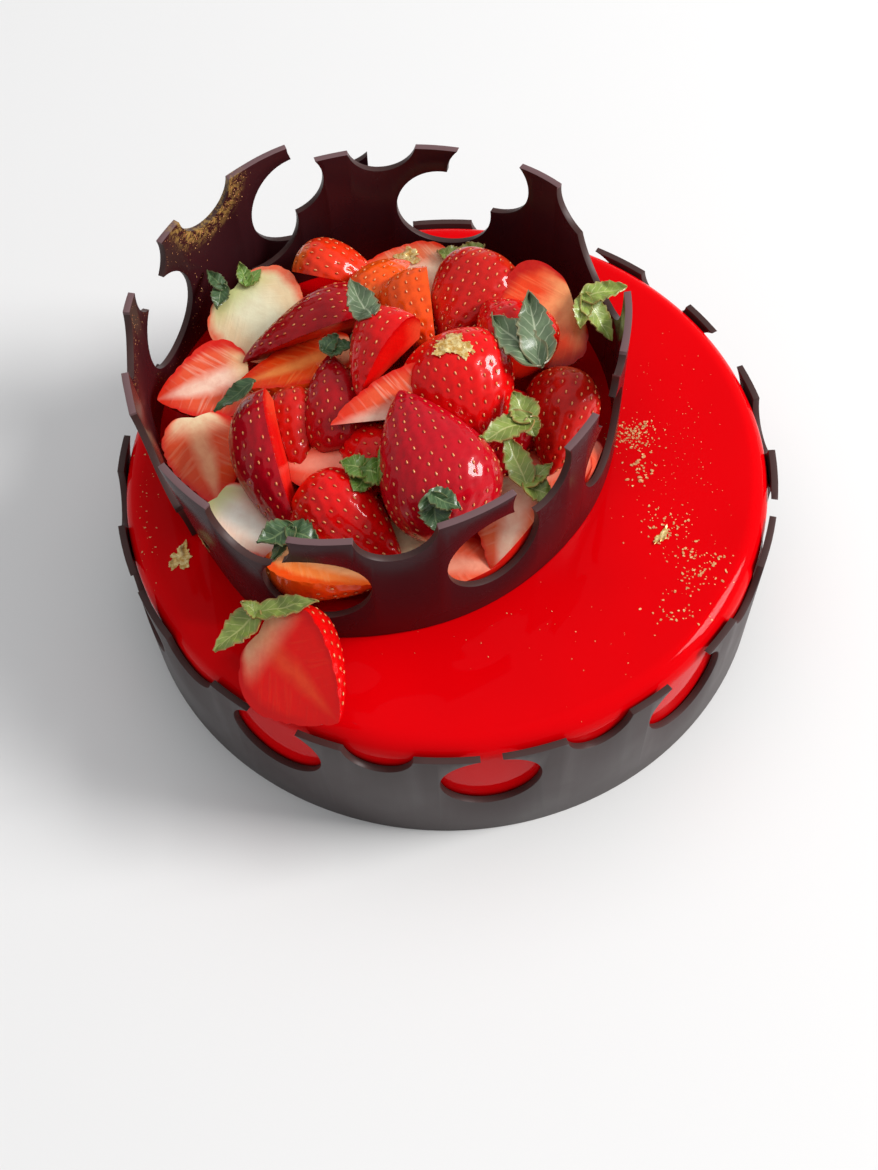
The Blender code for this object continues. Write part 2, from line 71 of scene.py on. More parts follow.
def addObject(name, mesh, *materials):
    made = bpy.data.objects.new(name, mesh)
    bpy.context.scene.collection.objects.link(made)
    for material in materials:
        mesh.materials.append(material)
    return made


def meshFrom(name, points, faces):
    mesh = bpy.data.meshes.new(name)
    mesh.from_pydata([tuple(p) for p in points], [], faces)
    mesh.update()
    return mesh


def readPoints(mesh):
    points = np.empty(len(mesh.vertices) * 3)
    mesh.vertices.foreach_get("co", points)
    return points.reshape(-1, 3)


def readNormals(mesh):
    normals = np.empty(len(mesh.vertices) * 3)
    mesh.vertices.foreach_get("normal", normals)
    return normals.reshape(-1, 3)


def writePoints(mesh, points):
    mesh.vertices.foreach_set("co", np.asarray(points, dtype=np.float64).ravel())
    mesh.update()


def smooth(mesh, angle=40.0):
    mesh.shade_smooth()
    mesh.set_sharp_from_angle(angle=math.radians(angle))


def applyModifiers(obj):
    bpy.context.view_layer.update()
    graph = bpy.context.evaluated_depsgraph_get()
    baked = bpy.data.meshes.new_from_object(obj.evaluated_get(graph))
    obj.modifiers.clear()
    obj.data = baked


def addBoolean(obj, operation, operand):
    step = obj.modifiers.new(operation.lower(), "BOOLEAN")
    step.operation = operation
    step.solver = "MANIFOLD"
    step.object = operand


def treeOf(objects):
    points, faces = [], []
    for obj in objects:
        start = len(points)
        points.extend(obj.matrix_world @ v.co for v in obj.data.vertices)
        faces.extend([start + i for i in p.vertices] for p in obj.data.polygons)
    return BVHTree.FromPolygons(points, faces)


def towards(bearing):
    # a step of one outward, bearing in degrees
    angle = math.radians(bearing)
    return Vector((math.cos(angle), math.sin(angle), 0.0))


def shaded(colour, share):
    return tuple(share * c for c in colour)


# Node helpers. Those that stand for one node give back its output socket. A finish is the roughness,
# the coat, the roughness of the coat and the specular level

def freshMaterial(name, roughness, coat, coatRoughness, specular):
    material = bpy.data.materials.new(name)
    material.use_nodes = True
    shader = material.node_tree.nodes["Principled BSDF"]
    shader.inputs["Roughness"].default_value = roughness
    shader.inputs["Coat Weight"].default_value = coat
    shader.inputs["Coat Roughness"].default_value = coatRoughness
    shader.inputs["Specular IOR Level"].default_value = specular
    return material, material.node_tree, shader


def put(tree, kind, inputs=None, **settings):
    made = tree.nodes.new("ShaderNode" + kind)
    for name, value in settings.items():
        setattr(made, name, value)
    for name, value in (inputs or {}).items():
        if isinstance(value, bpy.types.NodeSocket):
            tree.links.new(value, made.inputs[name])
        else:
            made.inputs[name].default_value = value
    return made


def sums(tree, operation, first, second=0.0, clamp=False):
    return put(tree, "Math", {0: first, 1: second}, operation=operation, use_clamp=clamp).outputs[0]


def times(tree, first, second):
    return sums(tree, "MULTIPLY", first, second)


def blend(tree, share, first, second):
    values = {0: share, 6: first, 7: second}
    values = {k: (*v, 1.0) if isinstance(v, tuple) and len(v) == 3 else v for k, v in values.items()}
    return put(tree, "Mix", values, data_type="RGBA").outputs[2]


def markedPlace(tree, label):
    # a place kept with each point, and its three numbers
    place = put(tree, "Attribute", attribute_name=label).outputs["Vector"]
    return place, put(tree, "SeparateXYZ", {0: place}).outputs


def remap(tree, value, low, high, toLow=0.0, toHigh=1.0):
    return put(tree, "MapRange", {0: value, 1: low, 2: high, 3: toLow, 4: toHigh},
               interpolation_type="SMOOTHSTEP").outputs[0]


def ramp(tree, value, stops):
    made = put(tree, "ValToRGB", {0: value})
    bar = made.color_ramp
    while len(bar.elements) < len(stops):
        bar.elements.new(1.0)
    for element, (position, colour) in zip(bar.elements, stops):
        element.position = position
        element.color = (*colour, 1.0)
    return made.outputs[0]


def noise(tree, place, size, detail=3.0, rough=0.5):
    # size is the size of the features in millimetres
    return put(tree, "TexNoise", {"Vector": place, "Scale": 1.0 / (size * mm), "Detail": detail,
                                  "Roughness": rough}).outputs[0]


def bump(tree, shader, height, strength, distance):
    made = put(tree, "Bump", {"Height": height, "Strength": strength, "Distance": distance * mm})
    tree.links.new(made.outputs[0], shader.inputs["Normal"])


def paint(tree, shader, colour):
    tree.links.new(colour, shader.inputs["Base Color"])


def objectPlace(tree):
    return put(tree, "TexCoord").outputs["Object"]


def tone(red, green, blue):
    # a colour given as it shows on a screen, 0 to 255
    return tuple((c / 255.0 / 12.92) if c < 10 else ((c / 255.0 + 0.055) / 1.055) ** 2.4
                 for c in (red, green, blue))


# Glazed cake

cake = {"height": 46.0, "radius": 87.8, "rim": 6.0, "foot": 1.0, "wave": 0.10, "waveStart": 30.0,
        "sides": 288, "topRings": 34}
glazeLook = {"colour": (0.67, 0.0, 0.002), "shade": 0.93, "cloud": 45.0, "ripple": 9.0,
             "finish": (0.05, 0.06, 0.02, 0.03)}


def glazeMaterial():
    material, tree, shader = freshMaterial("redMirrorGlaze", *glazeLook["finish"])
    place = objectPlace(tree)
    cloud = noise(tree, place, glazeLook["cloud"], 2.0)
    colour = blend(tree, remap(tree, cloud, 0.3, 0.7), glazeLook["colour"],
                   shaded(glazeLook["colour"], glazeLook["shade"]))
    paint(tree, shader, colour)
    bump(tree, shader, noise(tree, place, glazeLook["ripple"], 1.0), 0.04, 0.3)
    return material


def buildCake():
    # radius and height of each ring of points, from the middle of the top down to the foot
    rings = [(r, cake["height"])
             for r in np.linspace(0.0, cake["radius"] - cake["rim"], cake["topRings"])][1:]
    for corner, size, first, steps in ((cake["height"], cake["rim"], 90.0, 12),
                                       (0.0, cake["foot"], 0.0, 4)):
        middle = corner - size if corner else size
        for i in range(1 if corner else 0, steps + 1):
            angle = math.radians(first - 90.0 * i / steps)
            rings.append((cake["radius"] - size + size * math.cos(angle), middle + size * math.sin(angle)))
    rings += [(60.0, 0.0), (20.0, 0.0)]           # the flat underside
    sides = cake["sides"]
    points = [(0.0, 0.0, cake["height"])]
    for r, z in rings:
        for i in range(sides):
            angle = 2.0 * math.pi * i / sides
            points.append((r * math.cos(angle), r * math.sin(angle), z))
    points.append((0.0, 0.0, 0.0))
    last = len(points) - 1
    faces = [(0, 1 + i, 1 + (i + 1) % sides) for i in range(sides)]
    for row in range(len(rings) - 1):
        for i in range(sides):
            j = (i + 1) % sides
            a = 1 + row * sides
            faces.append((a + i, a + sides + i, a + sides + j, a + j))
    a = 1 + (len(rings) - 1) * sides
    faces += [(a + i, last, a + (i + 1) % sides) for i in range(sides)]
    points = np.array(points)
    x, y, z = points.T
    # only the top of the glaze is uneven
    lift = np.clip((z - cake["waveStart"]) / (cake["height"] - cake["waveStart"]), 0.0, 1.0)
    wave = np.sin(x / 13.0 + 1.1) * np.cos(y / 17.0) + 0.7 * np.sin((x + y) / 9.0 + 0.4)
    points[:, 2] += lift * cake["wave"] * (wave - 1.0)
    made = addObject("glazedCakeTop", meshFrom("glazedCake", points * mm, faces), glazeMaterial())
    smooth(made.data, 60.0)
    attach(made, "root")
    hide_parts("glazed_cake")
    return made


# Chocolate, made as flat strips that are punched and then bent round

# band is the chocolate's colour with a painted sheen: greyer than crown, for the grey its front shows from
# grazing reflection
chocolateLook = {"crown": tone(52, 22, 26), "band": tone(52, 40, 40), "edge": tone(62, 40, 38),
                 "edgeTop": tone(104, 78, 80), "dust": tone(176, 140, 74), "cloud": 26.0, "grain": 3.0,
                 "thickness": 1.8, "bevel": 0.22, "foldStep": 2.0, "holeSides": 56}
chocolateFinish = {"edge": (0.45, 0.0, 0.1, 0.3), "crown": (0.26, 0.0, 0.1, 0.18),
                   "dusted": (0.28, 0.0, 0.1, 0.18), "band": (0.42, 0.0, 0.1, 0.4)}
# the tuck draws the foot in at one bearing; dustPlace and dustReach are in metres
crownLook = {"nominal": 64.0, "foot": 46.3, "top": 90.0, "tuck": 6.0, "tuckBearing": 215.0,
             "tuckSpread": 40.0, "dustPlace": (-0.0622, 0.0548, 0.0912), "dustReach": (0.0165, 0.0105)}
longStrip = {
    "name": "crownLong", "node": "crown_long_strip",
    # bearing in degrees and radius
    "path": ((-141, 65.0), (-129, 66.0), (-109, 67.1), (-94, 64.1), (-61, 61.5), (-42, 60.6),
             (-11, 61.9), (2, 63.9), (44, 67.4), (67, 64.5), (98, 60.5), (127, 60.4)),
    # bearing, height and radius of each round hole
    "holes": ((113.5, 84.0, 10.8), (123.8, 71.5, 13.1), (123.0, 91.0, 10.0), (88.3, 92.5, 9.9),
              (72.9, 68.6, 13.7), (61.3, 82.2, 11.8), (34.4, 88.9, 9.2), (21.0, 86.0, 16.5),
              (-14.5, 91.5, 4.2), (-22.0, 70.0, 13.5), (-24.0, 88.0, 7.0), (-50.1, 85.8, 10.0),
              (-63.2, 70.4, 13.5), (-85.8, 90.7, 10.0), (-103.5, 69.3, 13.0), (-117.0, 87.0, 10.6)),
}
leftStrip = {
    "name": "crownLeft", "node": "crown_left_strip",
    "path": ((92, 68.6), (110, 68.6), (127, 65.5), (148, 63.9), (170, 63.3), (195, 62.7),
             (206, 63.9), (218, 67.6)),
    "holes": ((100.0, 90.0, 12.0), (109.3, 71.0, 14.9), (135.6, 91.2, 9.8), (157.5, 66.7, 13.6),
              (160.0, 87.0, 9.6), (183.0, 91.0, 10.0), (220.5, 88.0, 19.0), (232.0, 52.0, 22.0)),
}
sideBand = {"name": "sideBand", "node": "chocolate_side_band", "radius": 90.0, "height": 44.0,
            "seam": 95.0, "seamGap": 0.25, "repeat": 36.0, "firstHole": -84.4, "holeHeight": 31.3,
            "holeShift": 1.7, "holeRadius": 13.0, "scallopHeight": 45.4, "scallopRadius": 9.1}


def chocolateMaterial(name, colour, finish, dusty=0.0, topColour=None):
    material, tree, shader = freshMaterial(name, *chocolateFinish[finish])
    roughness = chocolateFinish[finish][0]
    place = objectPlace(tree)
    cloud = noise(tree, place, chocolateLook["cloud"], 3.0, 0.5)
    base = blend(tree, remap(tree, cloud, 0.3, 0.75, 0.0, 0.5), colour, shaded(colour, 1.3))
    if topColour:                                # the top faces catch the light and look greyer
        height = put(tree, "SeparateXYZ", {0: place}).outputs[2]
        onTop = sums(tree, "GREATER_THAN", height, (crownLook["top"] - 0.8) * mm)
        base = blend(tree, onTop, base, topColour)
    if dusty:                                    # gold dust that settled round one cut-out
        from3d = put(tree, "VectorMath", {0: place, 1: crownLook["dustPlace"]}, operation="DISTANCE")
        rubbed = times(tree, remap(tree, from3d.outputs["Value"], *crownLook["dustReach"]),
                       remap(tree, noise(tree, place, 1.6, 5.0, 0.75), 0.44, 0.60))
        base = blend(tree, times(tree, rubbed, dusty), base, chocolateLook["dust"])
    paint(tree, shader, base)
    uneven = remap(tree, cloud, 0.3, 0.7, roughness - 0.04, roughness + 0.06)
    tree.links.new(uneven, shader.inputs["Roughness"])
    bump(tree, shader, noise(tree, place, chocolateLook["grain"], 3.0), 0.05, 0.12)
    return material


def pathRadius(path, bearing, height):
    total = 0.0
    offsets = (-8, -4, 0, 4, 8)
    for offset in offsets:
        at = min(max(bearing + offset, path[0][0]), path[-1][0])
        for (low, radiusLow), (high, radiusHigh) in zip(path, path[1:]):
            if at <= high:
                total += radiusLow + (radiusHigh - radiusLow) * (at - low) / (high - low)
                break
    away = abs((bearing - crownLook["tuckBearing"] + 180.0) % 360.0 - 180.0)
    tuck = crownLook["tuck"] * math.cos(math.radians(90.0 * min(1.0, away / crownLook["tuckSpread"]))) ** 2
    return total / len(offsets) - tuck * (crownLook["top"] - height) / (crownLook["top"] - cake["height"])


def punchedStrip(name, start, stop, nominal, foot, top, holes, centre, radiusAt, materials):
    shape = bmesh.new()
    bmesh.ops.create_cube(shape, size=1.0)
    for vertex in shape.verts:
        share = vertex.co.x + 0.5
        vertex.co = (math.radians(start + (stop - start) * share) * nominal,
                     foot + (top - foot) * (vertex.co.y + 0.5), vertex.co.z * chocolateLook["thickness"])
    mesh = bpy.data.meshes.new(name)
    shape.to_mesh(mesh)
    shape.free()
    strip = addObject(name, mesh, *materials)
    group = bpy.data.collections.new(name + "Punches")
    work.children.link(group)
    for number, (bearing, height, radius) in enumerate(holes):
        punches = bmesh.new()
        bmesh.ops.create_cone(punches, cap_ends=True, segments=chocolateLook["holeSides"], radius1=radius,
                              radius2=radius, depth=chocolateLook["thickness"] * 4.0)
        bmesh.ops.translate(punches, verts=punches.verts,
                            vec=(math.radians(bearing) * nominal, height, 0.0))
        punchMesh = bpy.data.meshes.new("punch")
        punches.to_mesh(punchMesh)
        punches.free()
        group.objects.link(bpy.data.objects.new(f"{name}Punch{number}", punchMesh))
    step = strip.modifiers.new("punch", "BOOLEAN")
    step.operation = "DIFFERENCE"
    step.solver = "EXACT"
    step.operand_type = "COLLECTION"
    step.collection = group
    soften = strip.modifiers.new("soften", "BEVEL")
    soften.width = chocolateLook["bevel"]
    soften.segments = 2
    soften.limit_method = "ANGLE"
    soften.angle_limit = math.radians(50.0)
    applyModifiers(strip)
    shape = bmesh.new()
    shape.from_mesh(strip.data)
    for face in shape.faces:
        face.material_index = 1 if abs(face.normal.z) < 0.5 else 0
    fold = start + chocolateLook["foldStep"]
    while fold < stop:                           # lines across the strip where it bends
        bmesh.ops.bisect_plane(shape, geom=shape.verts[:] + shape.edges[:] + shape.faces[:], dist=0.0001,
                               plane_co=(math.radians(fold) * nominal, 0.0, 0.0), plane_no=(1.0, 0.0, 0.0))
        fold += chocolateLook["foldStep"]
    bmesh.ops.triangulate(shape, faces=shape.faces)
    for vertex in shape.verts:
        bearing = vertex.co.x / nominal
        height = vertex.co.y
        radius = radiusAt(math.degrees(bearing), height) + vertex.co.z
        vertex.co = (centre + Vector((radius * math.cos(bearing), radius * math.sin(bearing), height))) * mm
    bmesh.ops.recalc_face_normals(shape, faces=shape.faces)
    shape.to_mesh(strip.data)
    shape.free()
    smooth(strip.data, 35.0)
    return strip


def buildChocolate():
    colours = chocolateLook
    edge = chocolateMaterial("chocolateCutEdge", colours["edge"], "edge", 0.5, colours["edgeTop"])
    crown = chocolateMaterial("crownChocolate", colours["crown"], "crown")
    dusted = chocolateMaterial("dustedChocolate", colours["crown"], "dusted", 0.9)
    outside = chocolateMaterial("bandChocolate", colours["band"], "band")
    made = {}
    for look, material in ((longStrip, crown), (leftStrip, dusted)):
        path = look["path"]
        made[look["name"]] = punchedStrip(
            look["name"], path[0][0], path[-1][0], crownLook["nominal"], crownLook["foot"],
            crownLook["top"], look["holes"], crownCentre,
            lambda bearing, height, path=path: pathRadius(path, bearing, height), (material, edge))
        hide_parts(look["node"])
    band = sideBand
    start = band["seam"] - 360.0
    holes = []
    for i in range(10):
        bearing = band["firstHole"] + band["repeat"] * i
        holes.append((bearing, band["holeHeight"] + band["holeShift"] * (i % 2), band["holeRadius"]))
        holes.append((bearing + band["repeat"] / 2.0, band["scallopHeight"], band["scallopRadius"]))
    holes = [((b - start) % 360.0 + start, h, r) for b, h, r in holes]
    middle = band["radius"] - chocolateLook["thickness"] / 2.0
    made["band"] = punchedStrip(band["name"], start, band["seam"] - band["seamGap"], band["radius"], 0.0,
                                band["height"], holes, Vector(), lambda bearing, height: middle,
                                (outside, edge))
    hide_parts(band["node"])
    for strip in made.values():
        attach(strip, "root")
    return made


# Strawberries

berryForm = {"shoulder": 0.62, "fullness": 0.74, "flat": 0.93, "stemDimple": 0.06, "lump": 0.05,
             "rings": 52, "sides": 84, "clearance": 0.05, "pressFrom": 2.0, "press": 0.65}
# shade is how dark the painted shade in each seed's pit gets
seedLook = {"rowGap": 2.9, "sideGap": 3.4, "length": 1.05, "width": 0.54, "depth": 0.42, "pit": 0.5,
            "pitWidth": 0.95, "shade": 0.36, "sink": 0.22, "fromCut": 0.7, "bead": (6, 4),
            "first": 0.09, "last": 0.975, "jitter": 0.13, "rowJitter": 0.1,
            "finish": (0.35, 0.5, 0.1, 0.5), "colours": (tone(206, 100, 48), tone(228, 152, 92))}
skinForm = {"finish": (0.32, 0.5, 0.04, 0.12), "cloud": 7.0, "spot": 1.6, "grain": 0.9}
faceForm = {"finish": (0.3, 0.4, 0.04, 0.12), "cloud": 5.0, "thread": 1.5, "mottle": 3.2, "grain": 1.8,
            "swell": 6.0}
# skin colours at the stem, on the body and at the tip, as tone() reads them
skinLooks = {
    "crimson": ((196, 10, 26), (186, 2, 24), (176, 1, 26)),
    "bright": ((226, 34, 14), (220, 6, 6), (208, 3, 8)),
    "dark": ((172, 8, 18), (166, 3, 16), (156, 3, 14)),
    "dull": ((206, 60, 26), (196, 20, 12), (186, 12, 10)),
    "orange": ((244, 140, 56), (240, 82, 14), (228, 36, 8)),
    "rosy": ((232, 80, 36), (222, 24, 12), (204, 6, 8)),
    "flame": ((246, 128, 50), (228, 48, 14), (214, 20, 8)),
}
# cut faces: stem end, core, flesh, rim and tip, then how wide the core is and how strong the streaks
faceLooks = {
    "ripe": ((244, 166, 124), (244, 116, 70), (226, 20, 8), (190, 2, 6), (208, 6, 6), 0.10, 0.65),
    "rosy": ((244, 204, 150), (250, 208, 184), (234, 88, 52), (212, 18, 6), (216, 30, 14), 0.20, 0.6),
    "peach": ((228, 160, 104), (236, 150, 96), (222, 62, 20), (176, 4, 2), (190, 8, 3), 0.24, 0.4),
    "orange": ((242, 190, 146), (242, 140, 70), (230, 72, 20), (208, 32, 6), (210, 36, 12), 0.18, 0.7),
    "salmon": ((240, 176, 148), (242, 158, 130), (236, 96, 64), (214, 44, 24), (208, 26, 14), 0.20, 0.4),
    "blush": ((230, 212, 176), (242, 204, 176), (230, 108, 66), (216, 40, 14), (218, 32, 10), 0.22, 0.5),
    "cream": ((226, 202, 142), (238, 220, 178), (230, 190, 140), (222, 120, 70), (224, 130, 76), 0.36, 0.3),
    "white": ((190, 196, 118), (230, 224, 190), (228, 202, 160), (224, 92, 60), (230, 128, 60), 0.34, 0.3),
    "whiteRed": ((206, 208, 130), (252, 246, 230), (250, 214, 190), (232, 70, 50), (214, 28, 18), 0.28, 0.3),
    "blushRed": ((232, 218, 176), (246, 170, 124), (236, 76, 28), (218, 18, 6), (214, 12, 4), 0.16, 0.5),
    "flameCut": ((252, 206, 150), (252, 186, 128), (248, 134, 62), (234, 74, 16), (236, 92, 24), 0.24, 0.4),
    "red": ((240, 84, 50), (238, 44, 28), (224, 14, 10), (196, 2, 8), (212, 8, 8), 0.10, 0.2),
    # glazed is brighter than the other cut faces: painted light, making up for the shade its face lies in
    "glazed": ((252, 196, 150), (248, 66, 30), (246, 8, 1), (216, 0, 2), (232, 2, 2), 0.08, 0.35),
}
# skin and cut face that each look word gets, and those of the berries that differ from it
usualLooks = {"red": ("bright", "ripe"), "dark": ("dark", "ripe"), "orange": ("orange", "orange"),
              "pink": ("rosy", "rosy"), "pale": ("rosy", "cream")}
ownLooks = {
    "berry_big_front": ("crimson", "ripe"), "berry_long_left": ("crimson", "red"),
    "berry_seeded_back": ("dull", "ripe"), "berry_dull_right": ("dull", "ripe"),
    "berry_wide_half_right": ("rosy", "peach"), "berry_half_gold_flake": ("rosy", "blush"),
    "berry_white_half_left": ("orange", "white"), "berry_glossy_white_half": ("rosy", "whiteRed"),
    "berry_pale_half_left": ("rosy", "blushRed"), "berry_in_front_hole": ("rosy", "salmon"),
    "berry_half_with_calyx": ("rosy", "blush"), "berry_smooth_cut_right": ("rosy", "salmon"),
    "berry_at_side_hole": ("rosy", "salmon"), "berry_small_orange": ("dull", "orange"),
    "berry_small_wedge_top": ("bright", "red"), "berry_cut_middle": ("rosy", "salmon"),
    "berry_orange_back": ("flame", "orange"), "berry_half_on_glaze": ("bright", "glazed"),
    "berry_orange_in_hole": ("orange", "flameCut"),
}
# name of the solid, cut, middle, heading of the tip, dip of the tip, turn, length, width, look;
# a piece higher in the heap comes first and cuts back the ones under it
berries = (
    ("berry_small_wedge_top", "wedge", (-13, 6, 78), -130, 0, 180, 26, 28, "red"),
    ("berry_pink_wedge_top", "wedge", (-11.5, -10, 77), -175, 0, 235, 34, 28, "pink"),
    ("berry_big_front", "whole", (-4, -23, 76), 111, -18, 0, 40, 29, "red"),
    ("berry_gold_topped", "whole", (5.5, -1, 74), -67, 12, 0, 33, 30, "red"),
    ("berry_under_leaf_pair", "whole", (18, 20, 73), 117, 0, 0, 25, 22, "red"),
    ("berry_long_dark_half", "half", (-34, 25.5, 66.5), -166, 8, -120, 41, 25, "dark"),
    ("berry_long_left", "half", (-40, -17, 66.5), -78, 20, -78, 43, 31, "red"),
    ("berry_orange_wedge", "wedge", (-2.5, 28, 70), -85, -4, 180, 26, 28, "orange"),
    ("berry_dark_upright", "half", (-28, 1, 69), 95, -15, 180, 29, 20, "dark"),
    ("berry_dull_right", "whole", (30, -4, 65), -103, 18, 0, 29, 21, "dark"),
    ("berry_seeded_back", "whole", (8, 37, 66), -120, 6, 0, 31, 24, "red"),
    ("berry_wide_half_right", "half", (24.5, 26, 69), -159, 8, -25, 28, 32, "pink"),
    ("berry_under_cap", "whole", (15, -6, 62), -108, 20, 0, 26, 20, "dark"),
    ("berry_orange_slice_back", "half", (-14, 42, 66), 60, 0, 120, 24, 22, "orange"),
    ("berry_half_gold_flake", "half", (-11, 52, 62), 178, 5, -10, 31, 22, "pale"),
    ("berry_white_half_left", "half", (-48, 35, 63), -50, 10, 15, 32, 30, "pale"),
    ("berry_orange_back", "half", (-28, 51, 61), -17, 0, 130, 27, 25, "orange"),
    ("berry_striped_slice", "half", (-38.5, 14.5, 69.5), -162, 5, 20, 34, 23, "orange"),
    ("berry_cut_half_left", "half", (-63.5, 14.5, 62.5), -163, 3, -8, 27, 24, "pink"),
    ("berry_pale_half_left", "half", (-62.5, -8.5, 60.5), -74, 12, -8, 28, 23, "pale"),
    ("berry_small_orange", "half", (-38.5, -5, 66), -84, 10, 180, 25, 16, "orange"),
    ("berry_red_over_leaf", "whole", (-20, -12, 66), 144, 0, 0, 22, 19, "red"),
    ("berry_cut_middle", "half", (-31, -15.5, 67), 179, 6, -8, 25, 22, "pink"),
    ("berry_seeded_front", "half", (-24.5, -33, 64), -36, 9, 180, 32, 23, "red"),
    ("berry_glossy_white_half", "half", (-50, -30, 61), -43, 6, 0, 27, 20, "pale"),
    ("berry_in_front_hole", "half", (4, -42.5, 58.5), -8, 0, 0, 25, 19, "pink"),
    ("berry_half_with_calyx", "half", (15.5, -36, 65), -111, 33, 10, 26, 22, "pink"),
    ("berry_smooth_cut_right", "half", (26, -16, 60), -144, 10, 0, 24, 20, "pink"),
    ("berry_orange_in_hole", "half", (-30, -42.5, 61.5), -28, -4, -32, 30, 25, "orange"),
    ("berry_cream_front", "half", (-9.5, -36, 60), 19, 0, 0, 24, 18, "pale"),
    ("berry_at_side_hole", "half", (34, -12, 56), -110, 0, 0, 21, 15, "pink"),
)
glazeBerry = ("berry_half_on_glaze", "half", (-37.6, -72.4, 60.1), -51, 2, 42, 33, 30, "red")


def berryPlace(middle, heading, dip, turn):
    angles = Euler([math.radians(value) for value in (turn, dip, heading)], "XYZ")
    return Matrix.Translation(Vector(middle) * mm) @ angles.to_matrix().to_4x4()


def berryPoint(along, around, length, width, phases):
    swell = np.maximum(0.0, np.sin(math.pi * along ** berryForm["shoulder"])) ** berryForm["fullness"]
    waves = (np.sin(2.0 * around + phases[0]) + 0.6 * np.sin(3.0 * around + phases[1])
             + 0.8 * np.sin(5.0 * along + around + phases[2]))
    uneven = 1.0 + berryForm["lump"] * waves
    radius = width / 2.0 * swell * uneven
    dimple = np.where(along < 0.5, berryForm["stemDimple"] * np.maximum(0.0, 1.0 - 2.0 * swell), 0.0)
    return np.stack([(along - 0.5 + dimple) * length, radius * np.cos(around),
                     radius * np.sin(around) * berryForm["flat"]], axis=-1)


def seedPlaces(name, length, width, phases):
    rand = random.Random(name + "Seeds")
    jitter, rowJitter = seedLook["jitter"], seedLook["rowJitter"]
    places = []
    along = seedLook["first"]
    row = 0
    while along < seedLook["last"]:
        swell = math.sin(math.pi * along ** berryForm["shoulder"]) ** berryForm["fullness"]
        count = max(1, round(math.pi * width * swell / seedLook["sideGap"]))
        for i in range(count):
            around = 2.0 * math.pi * (i + 0.5 * (row % 2) + rand.uniform(-jitter, jitter)) / count
            shift = rand.uniform(-rowJitter, rowJitter)
            places.append((along + shift * seedLook["rowGap"] / length, around))
        slope = 1.0 + 0.7 * abs(2.0 * along - 0.9) ** 2
        along += seedLook["rowGap"] / length / slope
        row += 1
    along, around = np.array(places).T
    point = berryPoint(along, around, length, width, phases)
    ahead = berryPoint(along + 0.004, around, length, width, phases) - point
    across = berryPoint(along, around + 0.01, length, width, phases) - point
    ahead /= np.linalg.norm(ahead, axis=1, keepdims=True)
    normal = np.cross(across, ahead)
    normal /= np.linalg.norm(normal, axis=1, keepdims=True)
    outward = np.sign((normal * (point * (0.0, 1.0, 1.0))).sum(1))
    outward[outward == 0.0] = 1.0
    return point, ahead, normal * outward[:, None]


def seedMesh(point, ahead, normal):
    # a low drop-shaped bead for each seed
    ball = bmesh.new()
    around, up = seedLook["bead"]
    bmesh.ops.create_uvsphere(ball, u_segments=around, v_segments=up, radius=0.5)
    ball.verts.index_update()
    form = np.array([v.co[:] for v in ball.verts])
    sides = [[v.index for v in face.verts] for face in ball.faces]
    ball.free()
    side = np.cross(normal, ahead)
    points = []
    faces = []
    sizes = (seedLook["width"], seedLook["depth"], seedLook["length"])
    for p, a, n, s in zip(point, ahead, normal, side):
        taper = 1.0 - 0.5 * form[:, 2:3]
        local = (form[:, 0:1] * taper * sizes[0] * s + form[:, 1:2] * sizes[1] * n
                 + form[:, 2:3] * sizes[2] * a)
        start = len(points)
        points.extend(p + local - n * seedLook["sink"])
        faces.extend([start + i for i in face] for face in sides)
    return meshFrom("seeds", np.array(points) * mm, faces)


def pitDepth(points, seeds):
    # 1 in the middle of a seed's pit, 0 away from it
    depth = np.empty(len(points))
    step = 4000
    for i in range(0, len(points), step):
        away = np.linalg.norm(points[i:i + step, None, :] - seeds[None, :, :], axis=2).min(axis=1)
        depth[i:i + step] = np.exp(-(away / seedLook["pitWidth"]) ** 2)
    return depth


def fullBerry(name, length, width, rings=berryForm["rings"], sides=berryForm["sides"]):
    # the whole berry before it is cut, and where its seeds sit
    rand = random.Random(name)
    phases = [rand.uniform(0.0, 2.0 * math.pi) for _ in range(3)]
    turn = np.linspace(0.0, math.pi, rings + 1)[1:-1]
    along, around = np.meshgrid((1.0 - np.cos(turn)) / 2.0, np.arange(sides) * 2.0 * math.pi / sides,
                                indexing="ij")
    skin = berryPoint(along.ravel(), around.ravel(), length, width, phases)
    ends = berryPoint(np.array([0.0, 1.0]), np.array([0.0, 0.0]), length, width, phases)
    points = np.vstack([ends[:1], skin, ends[1:]])
    rows = rings - 1
    last = len(points) - 1
    faces = [(0, 1 + (i + 1) % sides, 1 + i) for i in range(sides)]
    for row in range(rows - 1):
        a = 1 + row * sides
        for i in range(sides):
            j = (i + 1) % sides
            faces.append((a + i, a + j, a + sides + j))
            faces.append((a + i, a + sides + j, a + sides + i))
    a = 1 + (rows - 1) * sides
    faces += [(a + i, a + (i + 1) % sides, last) for i in range(sides)]
    mesh = meshFrom(name, points, faces)
    shape = bmesh.new()
    shape.from_mesh(mesh)
    if shape.calc_volume(signed=True) < 0.0:
        bmesh.ops.reverse_faces(shape, faces=shape.faces)
        shape.to_mesh(mesh)
    shape.free()
    mesh.update()
    spots = seedPlaces(name, length, width, phases)
    pit = seedLook["pit"] * pitDepth(points, spots[0])
    writePoints(mesh, (points - readNormals(mesh) * pit[:, None]) * mm)
    return mesh, spots


